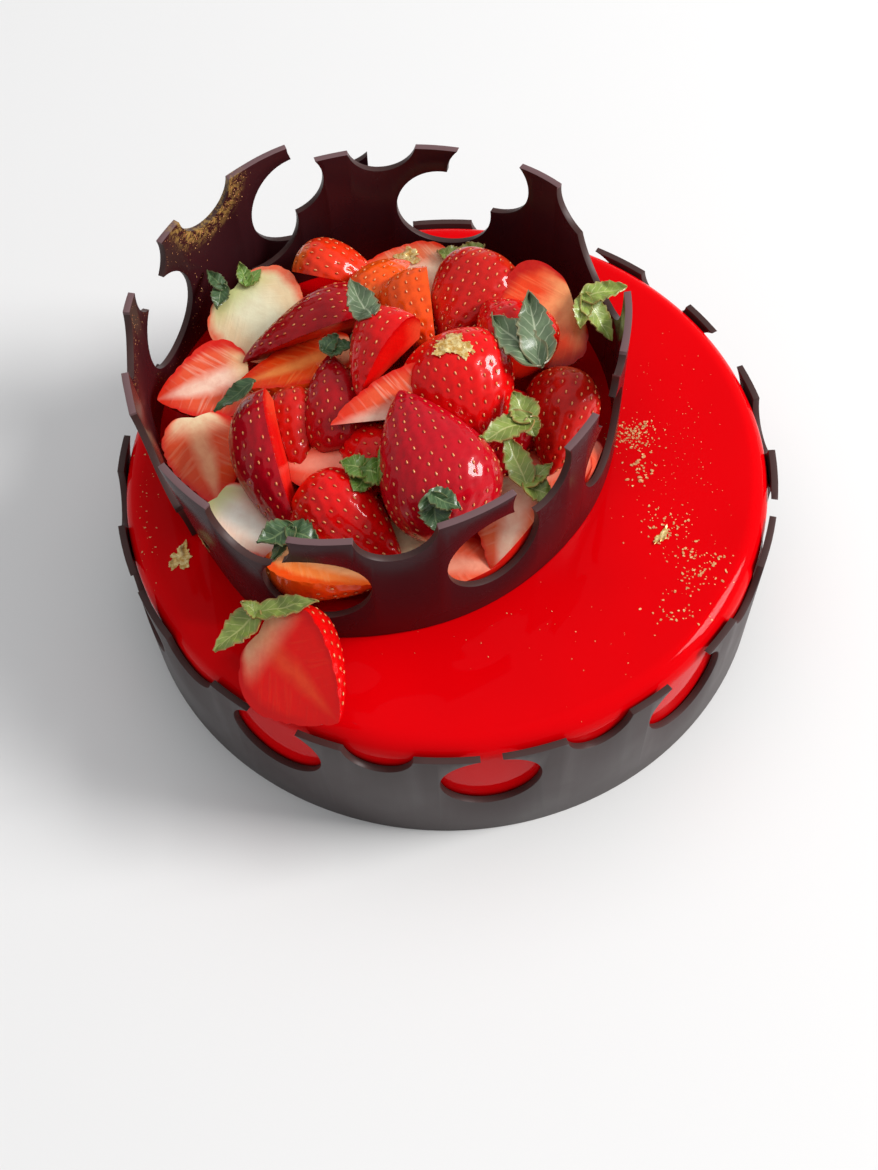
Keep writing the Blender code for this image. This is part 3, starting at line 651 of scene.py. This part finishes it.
def cutMesh(mesh, cut, grow=0.0):
    shape = bmesh.new()
    shape.from_mesh(mesh)
    planes = {"whole": (), "half": ((0, 0, 1),), "wedge": ((0, 0, 1), (0, -1, 0))}[cut]
    for outward in planes:
        bmesh.ops.bisect_plane(shape, geom=shape.verts[:] + shape.edges[:] + shape.faces[:], dist=1e-7,
                               plane_co=(0.0, 0.0, 0.0), plane_no=outward, clear_outer=True)
        bmesh.ops.holes_fill(shape, edges=[edge for edge in shape.edges if edge.is_boundary], sides=0)
    bmesh.ops.triangulate(shape, faces=shape.faces)
    bmesh.ops.recalc_face_normals(shape, faces=shape.faces)
    if shape.calc_volume(signed=True) < 0.0:
        bmesh.ops.reverse_faces(shape, faces=shape.faces)
    if grow:
        shape.normal_update()
        moves = [(v, v.normal * grow * mm * min(2.0, v.calc_shell_factor())) for v in shape.verts]
        for vertex, move in moves:
            vertex.co += move
    made = bpy.data.meshes.new(mesh.name)
    shape.to_mesh(made)
    shape.free()
    return made


roomForm = {"sides": 144, "above": 3.0, "clearance": 0.5}


def crownRoom():
    # the space inside the crown that the fruit may fill
    sides = roomForm["sides"]
    points = []
    for height in (crownLook["foot"], crownLook["top"] + roomForm["above"]):
        for i in range(sides):
            bearing = 360.0 * i / sides - 180.0
            reach = []
            for path in (longStrip["path"], leftStrip["path"]):
                for turned in (bearing, bearing + 360.0):
                    if path[0][0] <= turned <= path[-1][0]:
                        reach.append(pathRadius(path, turned, height))
            radius = min(reach) - chocolateLook["thickness"] / 2.0 - roomForm["clearance"]
            angle = math.radians(bearing)
            points.append(crownCentre + Vector((radius * math.cos(angle), radius * math.sin(angle), height)))
    faces = [tuple(reversed(range(sides))), tuple(range(sides, 2 * sides))]
    faces += [(i, (i + 1) % sides, sides + (i + 1) % sides, sides + i) for i in range(sides)]
    room = bpy.data.objects.new("room", meshFrom("room", [p * mm for p in points], faces))
    work.objects.link(room)
    return room


def skinMaterial(look):
    shoulderColour, bodyColour, tipColour = (tone(*colour) for colour in skinLooks[look])
    form = skinForm
    material, tree, shader = freshMaterial(look + "BerrySkin", *form["finish"])
    along, _, pit = markedPlace(tree, "berryPlace")[1]
    object3d = objectPlace(tree)
    cloud = noise(tree, object3d, form["cloud"], 3.0)
    shifted = sums(tree, "ADD", along, times(tree, sums(tree, "SUBTRACT", cloud, 0.5), 0.35))
    colour = ramp(tree, shifted, ((0.02, shoulderColour), (0.22, bodyColour), (0.75, bodyColour),
                                  (1.0, tipColour)))
    fine = noise(tree, object3d, form["spot"], 3.0)
    colour = blend(tree, remap(tree, fine, 0.45, 0.75, 0.0, 0.35), colour, shaded(bodyColour, 0.6))
    # painted shade: the skin is darkened in each seed's pit, where shade falls
    colour = blend(tree, times(tree, pit, seedLook["shade"]), colour, shaded(bodyColour, 0.5))
    paint(tree, shader, colour)
    bump(tree, shader, noise(tree, object3d, form["grain"], 3.0), 0.10, 0.12)
    return material


def faceMaterial(name, look, length, width):
    stem, core, flesh, rim, tip = (tone(*colour) for colour in faceLooks[look][:5])
    coreWidth, streaks = faceLooks[look][5:]
    form = faceForm
    material, tree, shader = freshMaterial(name + "CutFace", *form["finish"])
    place, split = markedPlace(tree, "ownPlace")
    x = times(tree, split[0], 1.0 / (length * mm))
    along = sums(tree, "ADD", x, 0.5, clamp=True)
    swell = sums(tree, "SINE", times(tree, sums(tree, "POWER", along, berryForm["shoulder"]), math.pi))
    swell = sums(tree, "POWER", sums(tree, "MAXIMUM", swell, 0.001), berryForm["fullness"])
    squares = [sums(tree, "POWER", sums(tree, "ABSOLUTE", split[i]), 2.0) for i in (1, 2)]
    across = sums(tree, "SQRT", sums(tree, "ADD", *squares))
    # 0 in the middle of the face and 1 at the skin
    out = sums(tree, "DIVIDE", across, times(tree, swell, width * mm / 2.0))
    rough = noise(tree, place, form["cloud"], 3.0)
    out = sums(tree, "ADD", out, times(tree, sums(tree, "SUBTRACT", rough, 0.5), 0.22))
    mid = tuple(0.5 * c + 0.5 * f for c, f in zip(core, flesh))
    colour = ramp(tree, out, ((0.0, core), (0.6 * coreWidth, core), (coreWidth + 0.06, mid),
                              (coreWidth + 0.20, flesh), (0.70, flesh), (0.88, rim), (1.0, rim)))
    # pale threads that run from the core out to the rim, slanting to the tip
    slant = sums(tree, "SUBTRACT", split[0], times(tree, across, 0.75))
    threads = put(tree, "CombineXYZ", {0: slant, 1: times(tree, across, 0.12),
                                       2: times(tree, split[1], 0.02)}).outputs[0]
    streak = remap(tree, noise(tree, threads, form["thread"], 2.0), 0.50, 0.66)
    there = times(tree, remap(tree, out, 0.22, 0.36), remap(tree, out, 0.98, 0.70))
    streak = times(tree, times(tree, streak, there), streaks)
    colour = blend(tree, streak, colour, mid)
    shoulders = times(tree, remap(tree, along, 0.32, 0.04, 0.0, 0.9), remap(tree, out, 0.9, 0.55))
    colour = blend(tree, shoulders, colour, stem)
    toTip = sums(tree, "ADD", along, times(tree, out, 0.12))
    colour = blend(tree, remap(tree, toTip, 0.66, 1.02, 0.0, 0.9), colour, tip)
    cloudy = remap(tree, noise(tree, place, form["mottle"], 4.0, 0.6), 0.35, 0.7, 0.0, 0.25)
    colour = blend(tree, cloudy, colour, shaded(flesh, 0.8))
    paint(tree, shader, colour)
    relief = sums(tree, "ADD", times(tree, streak, 0.8), noise(tree, place, form["grain"], 3.0))
    relief = sums(tree, "ADD", relief, times(tree, noise(tree, place, form["swell"], 1.0), 2.0))
    bump(tree, shader, relief, 0.35, 0.3)
    return material


def seedMaterial():
    material, tree, shader = freshMaterial("goldenSeed", *seedLook["finish"])
    cloud = noise(tree, objectPlace(tree), 2.5, 1.0)
    paint(tree, shader, blend(tree, remap(tree, cloud, 0.35, 0.65), *seedLook["colours"]))
    return material


def markPlaces(mesh, length, spots):
    # along the berry, and how deep in a seed's pit for the skin's painted pit shade, and the place in the
    # berry for the cut face, kept with each point
    points = readPoints(mesh) / mm
    values = np.zeros((len(points), 3))
    values[:, 0] = points[:, 0] / length + 0.5
    if spots is not None:
        values[:, 2] = pitDepth(points, spots[0])
    for label, kept in (("berryPlace", values), ("ownPlace", points * mm)):
        mesh.attributes.new(label, "FLOAT_VECTOR", "POINT").data.foreach_set("vector", kept.ravel())


def dressBerry(obj, cut, length, spots, materials):
    # cut faces get their own material, then the seeds that are still on the skin are joined on
    mesh = obj.data
    mesh.materials.clear()
    for material in materials:
        mesh.materials.append(material)
    for polygon in mesh.polygons:
        middle, normal = polygon.center, polygon.normal
        onTop = cut != "whole" and abs(middle.z) < 0.02 * mm and normal.z > 0.95
        onSide = cut == "wedge" and abs(middle.y) < 0.02 * mm and normal.y < -0.95
        polygon.material_index = 1 if onTop or onSide else 0
    markPlaces(mesh, length, spots)
    smooth(mesh, 38.0)
    tree = BVHTree.FromPolygons([v.co[:] for v in mesh.vertices], [p.vertices[:] for p in mesh.polygons])
    kept = []
    for i, (point, _, normal) in enumerate(zip(*spots)):
        if cut != "whole" and point[2] > -seedLook["fromCut"]:
            continue
        if cut == "wedge" and point[1] < seedLook["fromCut"]:
            continue
        inPit = Vector(point - normal * seedLook["pit"]) * mm
        found = tree.find_nearest(inPit)
        if found[3] is not None and found[3] < 0.2 * mm and found[1].dot(Vector(normal)) > 0.6:
            kept.append(i)
    if not kept:
        return
    seeds = seedMesh(*(part[kept] for part in spots))
    shape = bmesh.new()
    shape.from_mesh(mesh)
    before = len(shape.faces)
    shape.from_mesh(seeds)
    shape.faces.ensure_lookup_table()
    for face in shape.faces[before:]:
        face.material_index = 2
        face.smooth = True
    shape.to_mesh(mesh)
    shape.free()


def reachOverlap(first, second):
    apart = (first.matrix_world.translation - second.matrix_world.translation).length
    return apart < first["reach"] + second["reach"]


def carve(obj, guards, room):
    for guard in guards:
        if reachOverlap(obj, guard):
            addBoolean(obj, "DIFFERENCE", guard)
    if room:
        addBoolean(obj, "INTERSECT", room)
    applyModifiers(obj)


def settle(mesh):
    # what would stand above the crown is pressed down a little
    points = readPoints(mesh)
    low = (crownLook["top"] - berryForm["pressFrom"]) * mm
    pressed = low + berryForm["press"] * (points[:, 2] - low)
    points[:, 2] = np.where(points[:, 2] > low, pressed, points[:, 2])
    writePoints(mesh, points)


def buildBerries():
    room = crownRoom()
    skins = {look: skinMaterial(look) for look in skinLooks}
    seed = seedMaterial()
    guards = []
    made = []
    for row in berries + (glazeBerry,):
        name, cut, middle, heading, dip, turn, length, width, look = row
        onGlaze = row is glazeBerry
        whole, spots = fullBerry(name, length, width)
        place = berryPlace(middle, heading, dip, turn)
        berry = addObject(name.replace("berry_", "fruit_"), cutMesh(whole, cut))
        berry.matrix_world = place
        berry["reach"] = length * mm / 2.0 + 1.0 * mm
        carve(berry, guards, None if onGlaze else room)
        guard = bpy.data.objects.new(name + "Guard", cutMesh(whole, cut, berryForm["clearance"]))
        work.objects.link(guard)
        guard.matrix_world = place
        guard["reach"] = berry["reach"]
        guards.append(guard)
        skin, face = ownLooks.get(name, usualLooks[look])
        materials = (skins[skin], faceMaterial(name, face, length, width), seed)
        dressBerry(berry, cut, length, spots, materials)
        berry.data.transform(place)
        berry.matrix_world = Matrix.Identity(4)
        settle(berry.data)
        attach(berry, "root")
        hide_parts(name)
        made.append(berry)
    made.append(buildLowerLayer(room, guards, skins["dark"]))
    return made


lowerLayer = {"ring": 6, "ringRadius": 26.0, "height": 52.5, "length": 36.0, "width": 18.0,
              "middleSize": 1.2, "rings": 36, "sides": 48}


def buildLowerLayer(room, guards, skin):
    # one ring of berries and one in the middle, seen only in the gaps
    look = lowerLayer
    places = []
    for i in range(look["ring"]):
        angle = 360.0 / look["ring"] * i
        spot = crownCentre + towards(angle) * look["ringRadius"] + Vector((0, 0, look["height"]))
        places.append((f"bed_{i}", spot, angle + 90.0, look["width"]))
    middle = crownCentre + Vector((0, 0, look["height"] + 1.0))
    places.append(("bed_middle", middle, 0.0, look["width"] * look["middleSize"]))
    bed = None
    for name, spot, heading, width in places:
        whole, _ = fullBerry(name, look["length"], width, look["rings"], look["sides"])
        place = berryPlace(spot, heading, 0.0, 0.0)
        whole.transform(place)
        piece = bpy.data.objects.new(name, whole)
        work.objects.link(piece)
        if bed is None:
            bed = addObject("fruit_lower_layer", whole.copy())
        else:
            addBoolean(bed, "UNION", piece)
    applyModifiers(bed)
    bed["reach"] = 1.0
    carve(bed, guards, room)
    bed.data.materials.clear()
    bed.data.materials.append(skin)
    markPlaces(bed.data, look["length"], None)
    smooth(bed.data, 38.0)
    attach(bed, "root")
    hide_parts("berry_lower_layer")
    return bed


# Leaves

leafForm = {"rows": 32, "columns": 14, "thickness": 0.35, "tooth": 0.20, "teeth": 7.0, "lift": 0.45,
            "point": 0.9, "base": 0.14, "fold": 0.12, "wave": 0.05, "ripple": 0.03, "droop": 0.12,
            "fromTop": 0.3, "mostLift": 4.5, "finish": (0.42, 0.25, 0.15, 0.5)}
# upper side, veins, dry edge
leafLooks = {
    "dark": (tone(58, 82, 50), tone(110, 130, 86), tone(92, 96, 60)),
    "grey": (tone(86, 102, 74), tone(156, 166, 136), tone(122, 112, 80)),
    "middle": (tone(88, 118, 46), tone(150, 168, 96), tone(124, 122, 60)),
    "light": (tone(124, 142, 62), tone(176, 184, 112), tone(156, 140, 76)),
    "olive": (tone(112, 126, 56), tone(168, 172, 104), tone(150, 112, 60)),
}
# name of the solid: look, the point where the blades join, then for each blade its heading, rise,
# length and width
leafTufts = {
    "leaf_white_half_left": ("dark", (-60, 45, 66.5), ((127, 13, 7, 5), (-100, -10, 6.5, 6))),
    "leaf_white_half_right": ("middle", (-53, 46, 66.5), ((112, 12, 7.5, 5), (51, 5, 5.5, 4.5))),
    "leaf_gold_half": ("olive", (6, 54, 65), ((155, 5, 7, 7), (23, 14, 8, 8))),
    "leaf_wide_half": ("light", (38.5, 30, 74),
        ((10, 15, 11.5, 8), (-53, -22, 13.5, 8), (-105, -13, 9, 6))),
    "leaf_pair": ("grey", (24.5, 0, 84), ((131, 6, 19.5, 12), (95, 10, 22, 11))),
    "leaf_long_dark": ("grey", (-17.5, 14.5, 84), ((113, 11, 15.5, 9),)),
    "leaf_cap": ("olive", (21, -14, 79.5), ((-155, 10, 14.5, 9), (119, 17, 8.5, 9), (-58, -48, 4.5, 6))),
    "leaf_big_front": ("dark", (-3.5, -39, 85), ((-78, -46, 9.5, 9), (-27, -7, 7.5, 7))),
    "leaf_half_front": ("olive", (19.5, -29.5, 74), ((108, 26, 14, 8), (-21, -13, 8.5, 8), (43, 6, 9, 6))),
    "leaf_middle": ("middle", (-19.5, -24.5, 75), ((159, 17, 7, 8), (-116, -16, 7, 7), (-20, 3, 9, 10))),
    "leaf_slice": ("dark", (-30, 13, 77), ((7, 8, 7.5, 7), (39, 25, 5, 6))),
    "leaf_long_left": ("dark", (-47, -4.5, 86), ((-170, -31, 13.5, 6),)),
    "leaf_front": ("dark", (-38.5, -37.5, 70), ((-149, 6, 9, 9), (-32, 0, 8, 8), (-125, -25, 10, 4))),
    "leaf_glaze_berry": ("olive", (-46.5, -58, 65), ((-144, -16, 14, 9), (-3, 25, 16, 7), (150, 40, 5, 5))),
}


def leafMaterial(look):
    upper, vein, edge = leafLooks[look]
    material, tree, shader = freshMaterial(look + "Leaf", *leafForm["finish"])
    along, side = markedPlace(tree, "leafPlace")[1][:2]
    away = sums(tree, "ABSOLUTE", side)
    # the midrib, and side veins that slant to the tip
    rib = remap(tree, away, 0.10, 0.02)
    slant = sums(tree, "SUBTRACT", times(tree, along, leafForm["teeth"]), times(tree, away, 1.6))
    comb = sums(tree, "ABSOLUTE", sums(tree, "SUBTRACT", sums(tree, "FRACT", slant), 0.5))
    veins = sums(tree, "MAXIMUM", rib, times(tree, remap(tree, comb, 0.10, 0.02), 0.7))
    cloud = noise(tree, objectPlace(tree), 3.0, 3.0)
    colour = blend(tree, remap(tree, cloud, 0.3, 0.7), upper, shaded(upper, 1.45))
    colour = blend(tree, veins, colour, vein)
    colour = blend(tree, remap(tree, away, 0.78, 1.0, 0.0, 0.8), colour, edge)
    paint(tree, shader, colour)
    relief = sums(tree, "SUBTRACT", noise(tree, objectPlace(tree), 0.8, 3.0), veins)
    bump(tree, shader, relief, 0.4, 0.25)
    return material


def buildTuft(name, spec, materials, fruit):
    look, stem, blades = spec
    form = leafForm
    rows, columns = form["rows"], form["columns"]
    points, faces, marks = [], [], []
    for number, (heading, rise, length, width) in enumerate(blades):
        rand = random.Random(f"{name}{number}")
        place = berryPlace(stem, heading, -rise, 0.0)
        phase, bend = rand.uniform(0.0, 6.0), rand.uniform(-0.10, 0.10)
        start = len(points)
        for i in range(rows + 1):
            along = i / rows
            swell = max(0.0, math.sin(math.pi * along ** 0.8)) ** form["point"]
            tooth = 1.0 - form["tooth"] * ((along * form["teeth"] + 0.3) % 1.0) * (along > 0.25)
            half = width / 2.0 * (form["base"] * (1.0 - along) + (1.0 - form["base"]) * swell * tooth)
            for j in range(columns + 1):
                side = 2.0 * j / columns - 1.0
                fold = form["fold"] * width * abs(side) ** 1.3
                wave = form["wave"] * width * math.sin(9.0 * along + 2.0 * side + phase)
                ripple = math.sin(26.0 * along + 1.5 * phase + 2.0 * side)
                ripple = form["ripple"] * width * abs(side) * ripple
                droop = form["droop"] * length * along * along
                local = Vector((along * (length + 1.0) - 1.0, side * half + bend * length * along * along,
                                fold + wave + ripple - droop))
                points.append(place @ (local * mm))
                marks.append((along, side, 0.0))
        for i in range(rows):
            for j in range(columns):
                a = start + i * (columns + 1) + j
                faces.append((a, a + columns + 1, a + columns + 2, a + 1))
    for i, point in enumerate(points):            # a leaf lies on the fruit and doesn't sink into it
        hit = fruit.ray_cast(Vector((point.x, point.y, point.z + 9.0 * mm)), Vector((0, 0, -1)), 16.0 * mm)
        if hit[0] is not None and hit[0].z + form["lift"] * mm > point.z:
            height = min(hit[0].z + form["lift"] * mm, point.z + form["mostLift"] * mm)
            points[i] = Vector((point.x, point.y, height))
    for point in points:                          # no leaf stands above the crown
        point.z = min(point.z, (crownLook["top"] - form["fromTop"]) * mm)
    mesh = meshFrom(name, points, faces)
    layer = mesh.attributes.new("leafPlace", "FLOAT_VECTOR", "POINT")
    layer.data.foreach_set("vector", np.array(marks).ravel())
    tuft = addObject(name.replace("leaf_", "leaves_"), mesh, materials[look])
    thick = tuft.modifiers.new("thickness", "SOLIDIFY")
    thick.thickness = form["thickness"] * mm
    thick.offset = 0.0
    applyModifiers(tuft)
    smooth(tuft.data, 60.0)
    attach(tuft, "root")
    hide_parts(name)


# Gold leaf and gold dust

# what each crumpled leaf lies on, its place, length, width, turn and how much it is crumpled;
# on the wall the place is a bearing and a height
goldLeaves = {
    "goldOnGlazeLeft": ("glaze", (-70.2, -29.8), 11.0, 7.5, 70.0, 1.5),
    "goldOnGlazeRight": ("glaze", (56.0, -28.0), 9.0, 3.2, 50.0, 1.0),
    "goldOnWall": ("wall", (222.5, 56.0), 7.5, 4.5, 20.0, 0.5),
    "goldOnTopBerry": ("fruit", (2.8, 3.5), 14.5, 10.5, -20.0, 1.2),
    "goldOnBackHalf": ("fruit", (-8.5, 57.0), 9.5, 7.0, -10.0, 1.0),
}
foilForm = {"cells": 44, "thickness": 0.06, "clearance": 0.10}
# slant across and along, and height, of the sharp folds that cross each other in each leaf
foilFolds = ((3.1, 2.2, 0.42), (-2.6, 4.1, 0.34), (6.3, -3.7, 0.20), (5.2, 7.4, 0.14))
# middle of each patch of specks, its spread, the number, and the smallest and largest speck
dustPatches = (((52.0, 5.0), (5.4, 4.6), 180, 0.35, 1.0), ((53.0, -7.0), (3.8, 4.2), 30, 0.7, 1.5),
               ((57.0, -25.0), (5.5, 5.5), 60, 0.4, 1.1), ((65.0, -38.0), (6.0, 6.5), 84, 0.4, 1.2),
               ((58.5, -51.0), (7.0, 5.0), 34, 0.4, 1.0), ((62.0, -10.0), (13.0, 34.0), 200, 0.2, 0.4),
               ((-80.0, -14.0), (3.5, 26.0), 60, 0.2, 0.7), ((26.0, -58.0), (26.0, 12.0), 40, 0.15, 0.5))
# how far the dust of a cut-out spreads on its wall, in which directions, and the share on the inside
dustForm = {"spread": 0.6, "arc": (-2.6, 0.6), "rim": 0.3, "reach": 3.2, "inside": 0.85, "start": 6.0,
            "toWall": 5.1, "fromTop": 0.4, "wallSizes": (0.15, 0.2, 0.25, 0.3, 0.45)}
# cut-outs of the left strip with dust round them: bearing, height, radius and number of specks
dustyHoles = ((135.6, 91.2, 9.8, 420), (160.0, 87.0, 9.6, 60), (157.5, 66.7, 13.6, 90),
              (183.0, 91.0, 10.0, 120))


def goldMaterial(name, colour, light, metallic, roughness):
    material, tree, shader = freshMaterial(name, roughness, 0.0, 0.1, 0.5)
    place = objectPlace(tree)
    crinkle = noise(tree, place, 1.1, 4.0, 0.65)
    paint(tree, shader, blend(tree, remap(tree, crinkle, 0.35, 0.7), colour, light))
    shader.inputs["Metallic"].default_value = metallic
    bump(tree, shader, crinkle, 0.7, 0.3)
    return material


def goldSheet(name, spec, surfaces, material):
    where, middle, length, width, turn, crumple = spec
    rand = random.Random(name)
    cells = foilForm["cells"]
    phases = [rand.uniform(0.0, 6.0) for _ in range(10)]
    turned = math.radians(turn)
    points, ids, faces = [], {}, []
    for i in range(cells + 1):
        for j in range(cells + 1):
            u, v = 2.0 * i / cells - 1.0, 2.0 * j / cells - 1.0
            angle, reach = math.atan2(v, u), math.hypot(u, v)
            edge = 0.70 + 0.14 * math.sin(3.0 * angle + phases[0]) + 0.10 * math.sin(5.0 * angle + phases[1])
            edge += 0.08 * math.sin(9.0 * angle + phases[2]) + 0.05 * math.sin(17.0 * angle + phases[3])
            if reach > edge:
                continue
            across, up = u * length / 2.0, v * width / 2.0
            across, up = (across * math.cos(turned) - up * math.sin(turned),
                          across * math.sin(turned) + up * math.cos(turned))
            if where == "wall":
                bearing = math.radians(middle[0]) + across / crownLook["nominal"]
                out = Vector((math.cos(bearing), math.sin(bearing), 0.0))
                start = crownCentre + out * 85.0 + Vector((0.0, 0.0, middle[1] + up))
                hit = surfaces[where].ray_cast(start * mm, -out, 40.0 * mm)
            else:
                start = Vector((middle[0] + across, middle[1] + up, 130.0))
                hit = surfaces[where].ray_cast(start * mm, Vector((0.0, 0.0, -1.0)), 0.2)
            if hit[0] is None:
                continue
            folds = 0.0
            bend = 0.35 * math.sin(3.0 * u - 4.0 * v + phases[8])
            for k, (fu, fv, tall) in enumerate(foilFolds):
                wave = (fu * u + fv * v + phases[4 + k] + bend) / math.pi
                folds += tall * abs(2.0 * (wave % 1.0) - 1.0)
            swell = 0.55 + 0.45 * math.sin(2.0 * u + 1.5 * v + phases[9])
            lift = crumple * folds * swell + foilForm["clearance"]
            ids[i, j] = len(points)
            out3d = hit[1] if where == "wall" else Vector((0.0, 0.0, 1.0))
            points.append(hit[0] + out3d * lift * mm)
    for (i, j), a in ids.items():
        if (i + 1, j) in ids and (i, j + 1) in ids and (i + 1, j + 1) in ids:
            faces.append((a, ids[i + 1, j], ids[i + 1, j + 1], ids[i, j + 1]))
    leaf = addObject(name, meshFrom(name, points, faces), material)
    thick = leaf.modifiers.new("thickness", "SOLIDIFY")
    thick.thickness = foilForm["thickness"] * mm
    applyModifiers(leaf)
    smooth(leaf.data, 18.0)
    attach(leaf, "root")


def addSpeck(points, faces, rand, middle, normal, size):
    side = normal.orthogonal().normalized()
    side.rotate(Matrix.Rotation(rand.uniform(0.0, 6.28), 3, normal))
    other = normal.cross(side)
    start = len(points)
    for k in range(6):
        angle = 2.0 * math.pi * k / 6.0
        reach = size * rand.uniform(0.55, 1.0) / 2.0
        lift = normal * rand.uniform(0.05, 0.10 + 0.15 * size)
        outward = side * math.cos(angle) * 1.25 + other * math.sin(angle) * 0.85
        points.append(middle + (outward * reach + lift) * mm)
    points.append(middle - normal * 0.02 * mm)
    faces.append(tuple(start + k for k in range(6)))
    faces.extend((start + (k + 1) % 6, start + k, start + 6) for k in range(6))


def buildDust(surface, material):
    rand = random.Random("dust")
    form = dustForm
    points, faces = [], []
    for (x, y), (spreadX, spreadY), count, small, large in dustPatches:
        for _ in range(count):
            px, py = rand.gauss(x, spreadX * form["spread"]), rand.gauss(y, spreadY * form["spread"])
            size = small + (large - small) * rand.random() ** 2
            if math.hypot(px, py) > cake["radius"] - 2.0:
                continue
            hit = surface.ray_cast(Vector((px, py, 120.0)) * mm, Vector((0, 0, -1)), 200.0 * mm)
            if hit[0] is not None and 40.0 * mm < hit[0].z < 48.0 * mm:
                addSpeck(points, faces, rand, hit[0], hit[1], size)
    for bearing, height, radius, count in dustyHoles:
        for _ in range(count):
            angle = rand.uniform(*form["arc"])
            reach = radius + form["rim"] + abs(rand.gauss(0.0, form["reach"]))
            turned = bearing - math.degrees(reach * math.cos(angle) / crownLook["nominal"])
            level = height + reach * math.sin(angle)
            inward = rand.random() < form["inside"]
            out = towards(turned)
            wall = pathRadius(leftStrip["path"], turned, level)
            wall += -form["start"] if inward else form["start"]
            spot = (crownCentre + out * wall + Vector((0, 0, level))) * mm
            hit = surface.ray_cast(spot, out if inward else -out, 9.0 * mm)
            onWall = hit[0] is not None and abs((hit[0] - spot).length - form["toWall"] * mm) < 0.4 * mm
            if onWall and hit[0].z < (crownLook["top"] - form["fromTop"]) * mm:
                addSpeck(points, faces, rand, hit[0], hit[1], rand.choice(form["wallSizes"]))
    dust = addObject("goldDust", meshFrom("goldDust", points, faces), material)
    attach(dust, "root")


def buildGold(fruit, glaze, walls):
    surfaces = {"fruit": treeOf(fruit), "glaze": treeOf([glaze]), "wall": treeOf(walls)}
    foil = goldMaterial("goldLeafFoil", tone(214, 164, 78), tone(255, 236, 172), 0.45, 0.28)
    specks = goldMaterial("goldDustSpecks", tone(206, 134, 84), tone(240, 186, 128), 0.2, 0.4)
    for name, spec in goldLeaves.items():
        goldSheet(name, spec, surfaces, foil)
    buildDust(treeOf(fruit + [glaze] + walls), specks)


# Floor, light and camera

# sizes and places here are in metres
stageLook = {"floorColour": (0.76, 0.755, 0.75), "floorRadius": 2.5, "floorHeight": -0.0002,
             "floorFinish": (0.7, 0.0, 0.1, 0.2),
             "world": (0.96, 0.98, 1.0), "worldStrength": 0.42}
lights = {
    # place, what it points at, size, power in watts, colour, and whether the glaze mirrors it
    "windowRight": ((1.5, 0.0, 1.2), (0.0, 0.0, 0.03), (0.7, 0.7), 39.0, (1.0, 0.99, 0.98), True),
    "overhead": ((-0.1, 0.25, 1.3), (0.0, 0.0, 0.0), (1.6, 1.4), 6.0, (0.97, 0.98, 1.0), False),
}
photoCamera = {"place": (0.0, -0.23288, 0.37067), "angles": (30.609, 1.367, -1.480), "lens": 44.97}


def buildStage():
    sides = 64
    reach = stageLook["floorRadius"]
    points = [(reach * math.cos(2 * math.pi * i / sides), reach * math.sin(2 * math.pi * i / sides),
               stageLook["floorHeight"]) for i in range(sides)]
    material, tree, shader = freshMaterial("paleFloor", *stageLook["floorFinish"])
    cloud = noise(tree, objectPlace(tree), 160.0, 2.0)
    colour = stageLook["floorColour"]
    paint(tree, shader, blend(tree, cloud, colour, shaded(colour, 0.985)))
    floor = addObject("floor", meshFrom("floor", points, [tuple(range(sides))]), material)
    world = bpy.data.worlds.new("softRoom")
    bpy.context.scene.world = world
    world.use_nodes = True
    back = world.node_tree.nodes["Background"]
    back.inputs[0].default_value = (*stageLook["world"], 1.0)
    back.inputs[1].default_value = stageLook["worldStrength"]
    for name, (place, target, size, power, colour, mirrored) in lights.items():
        lamp = bpy.data.lights.new(name, "AREA")
        lamp.shape = "RECTANGLE"
        lamp.size, lamp.size_y = size
        lamp.energy = power
        lamp.color = colour
        holder = bpy.data.objects.new(name, lamp)
        bpy.context.scene.collection.objects.link(holder)
        holder.location = place
        holder.visible_glossy = mirrored
        holder.rotation_euler = (Vector(target) - Vector(place)).to_track_quat("-Z", "Y").to_euler()
    lens = bpy.data.cameras.new("photoCamera")
    lens.sensor_width = 36.0
    lens.lens = photoCamera["lens"]
    lens.clip_start = 0.01
    camera = bpy.data.objects.new("photoCamera", lens)
    bpy.context.scene.collection.objects.link(camera)
    camera.location = photoCamera["place"]
    camera.rotation_euler = [math.radians(a) for a in photoCamera["angles"]]
    bpy.context.scene.camera = camera
    bpy.context.scene.view_settings.view_transform = "Standard"


def clearWork():
    for group in [work] + list(work.children):
        for obj in list(group.objects):
            bpy.data.objects.remove(obj, do_unlink=True)
    for group in list(work.children) + [work]:
        bpy.data.collections.remove(group)


glazed = buildCake()
print("cake done")
strips = buildChocolate()
print("chocolate done")
fruit = buildBerries()
print("fruit done")
fruitTree = treeOf(fruit)
leafMaterials = {look: leafMaterial(look) for look in leafLooks}
for name, spec in leafTufts.items():
    buildTuft(name, spec, leafMaterials, fruitTree)
print("leaves done")
buildGold(fruit, glazed, list(strips.values()))
print("gold done")
clearWork()
buildStage()
bpy.context.view_layer.update()
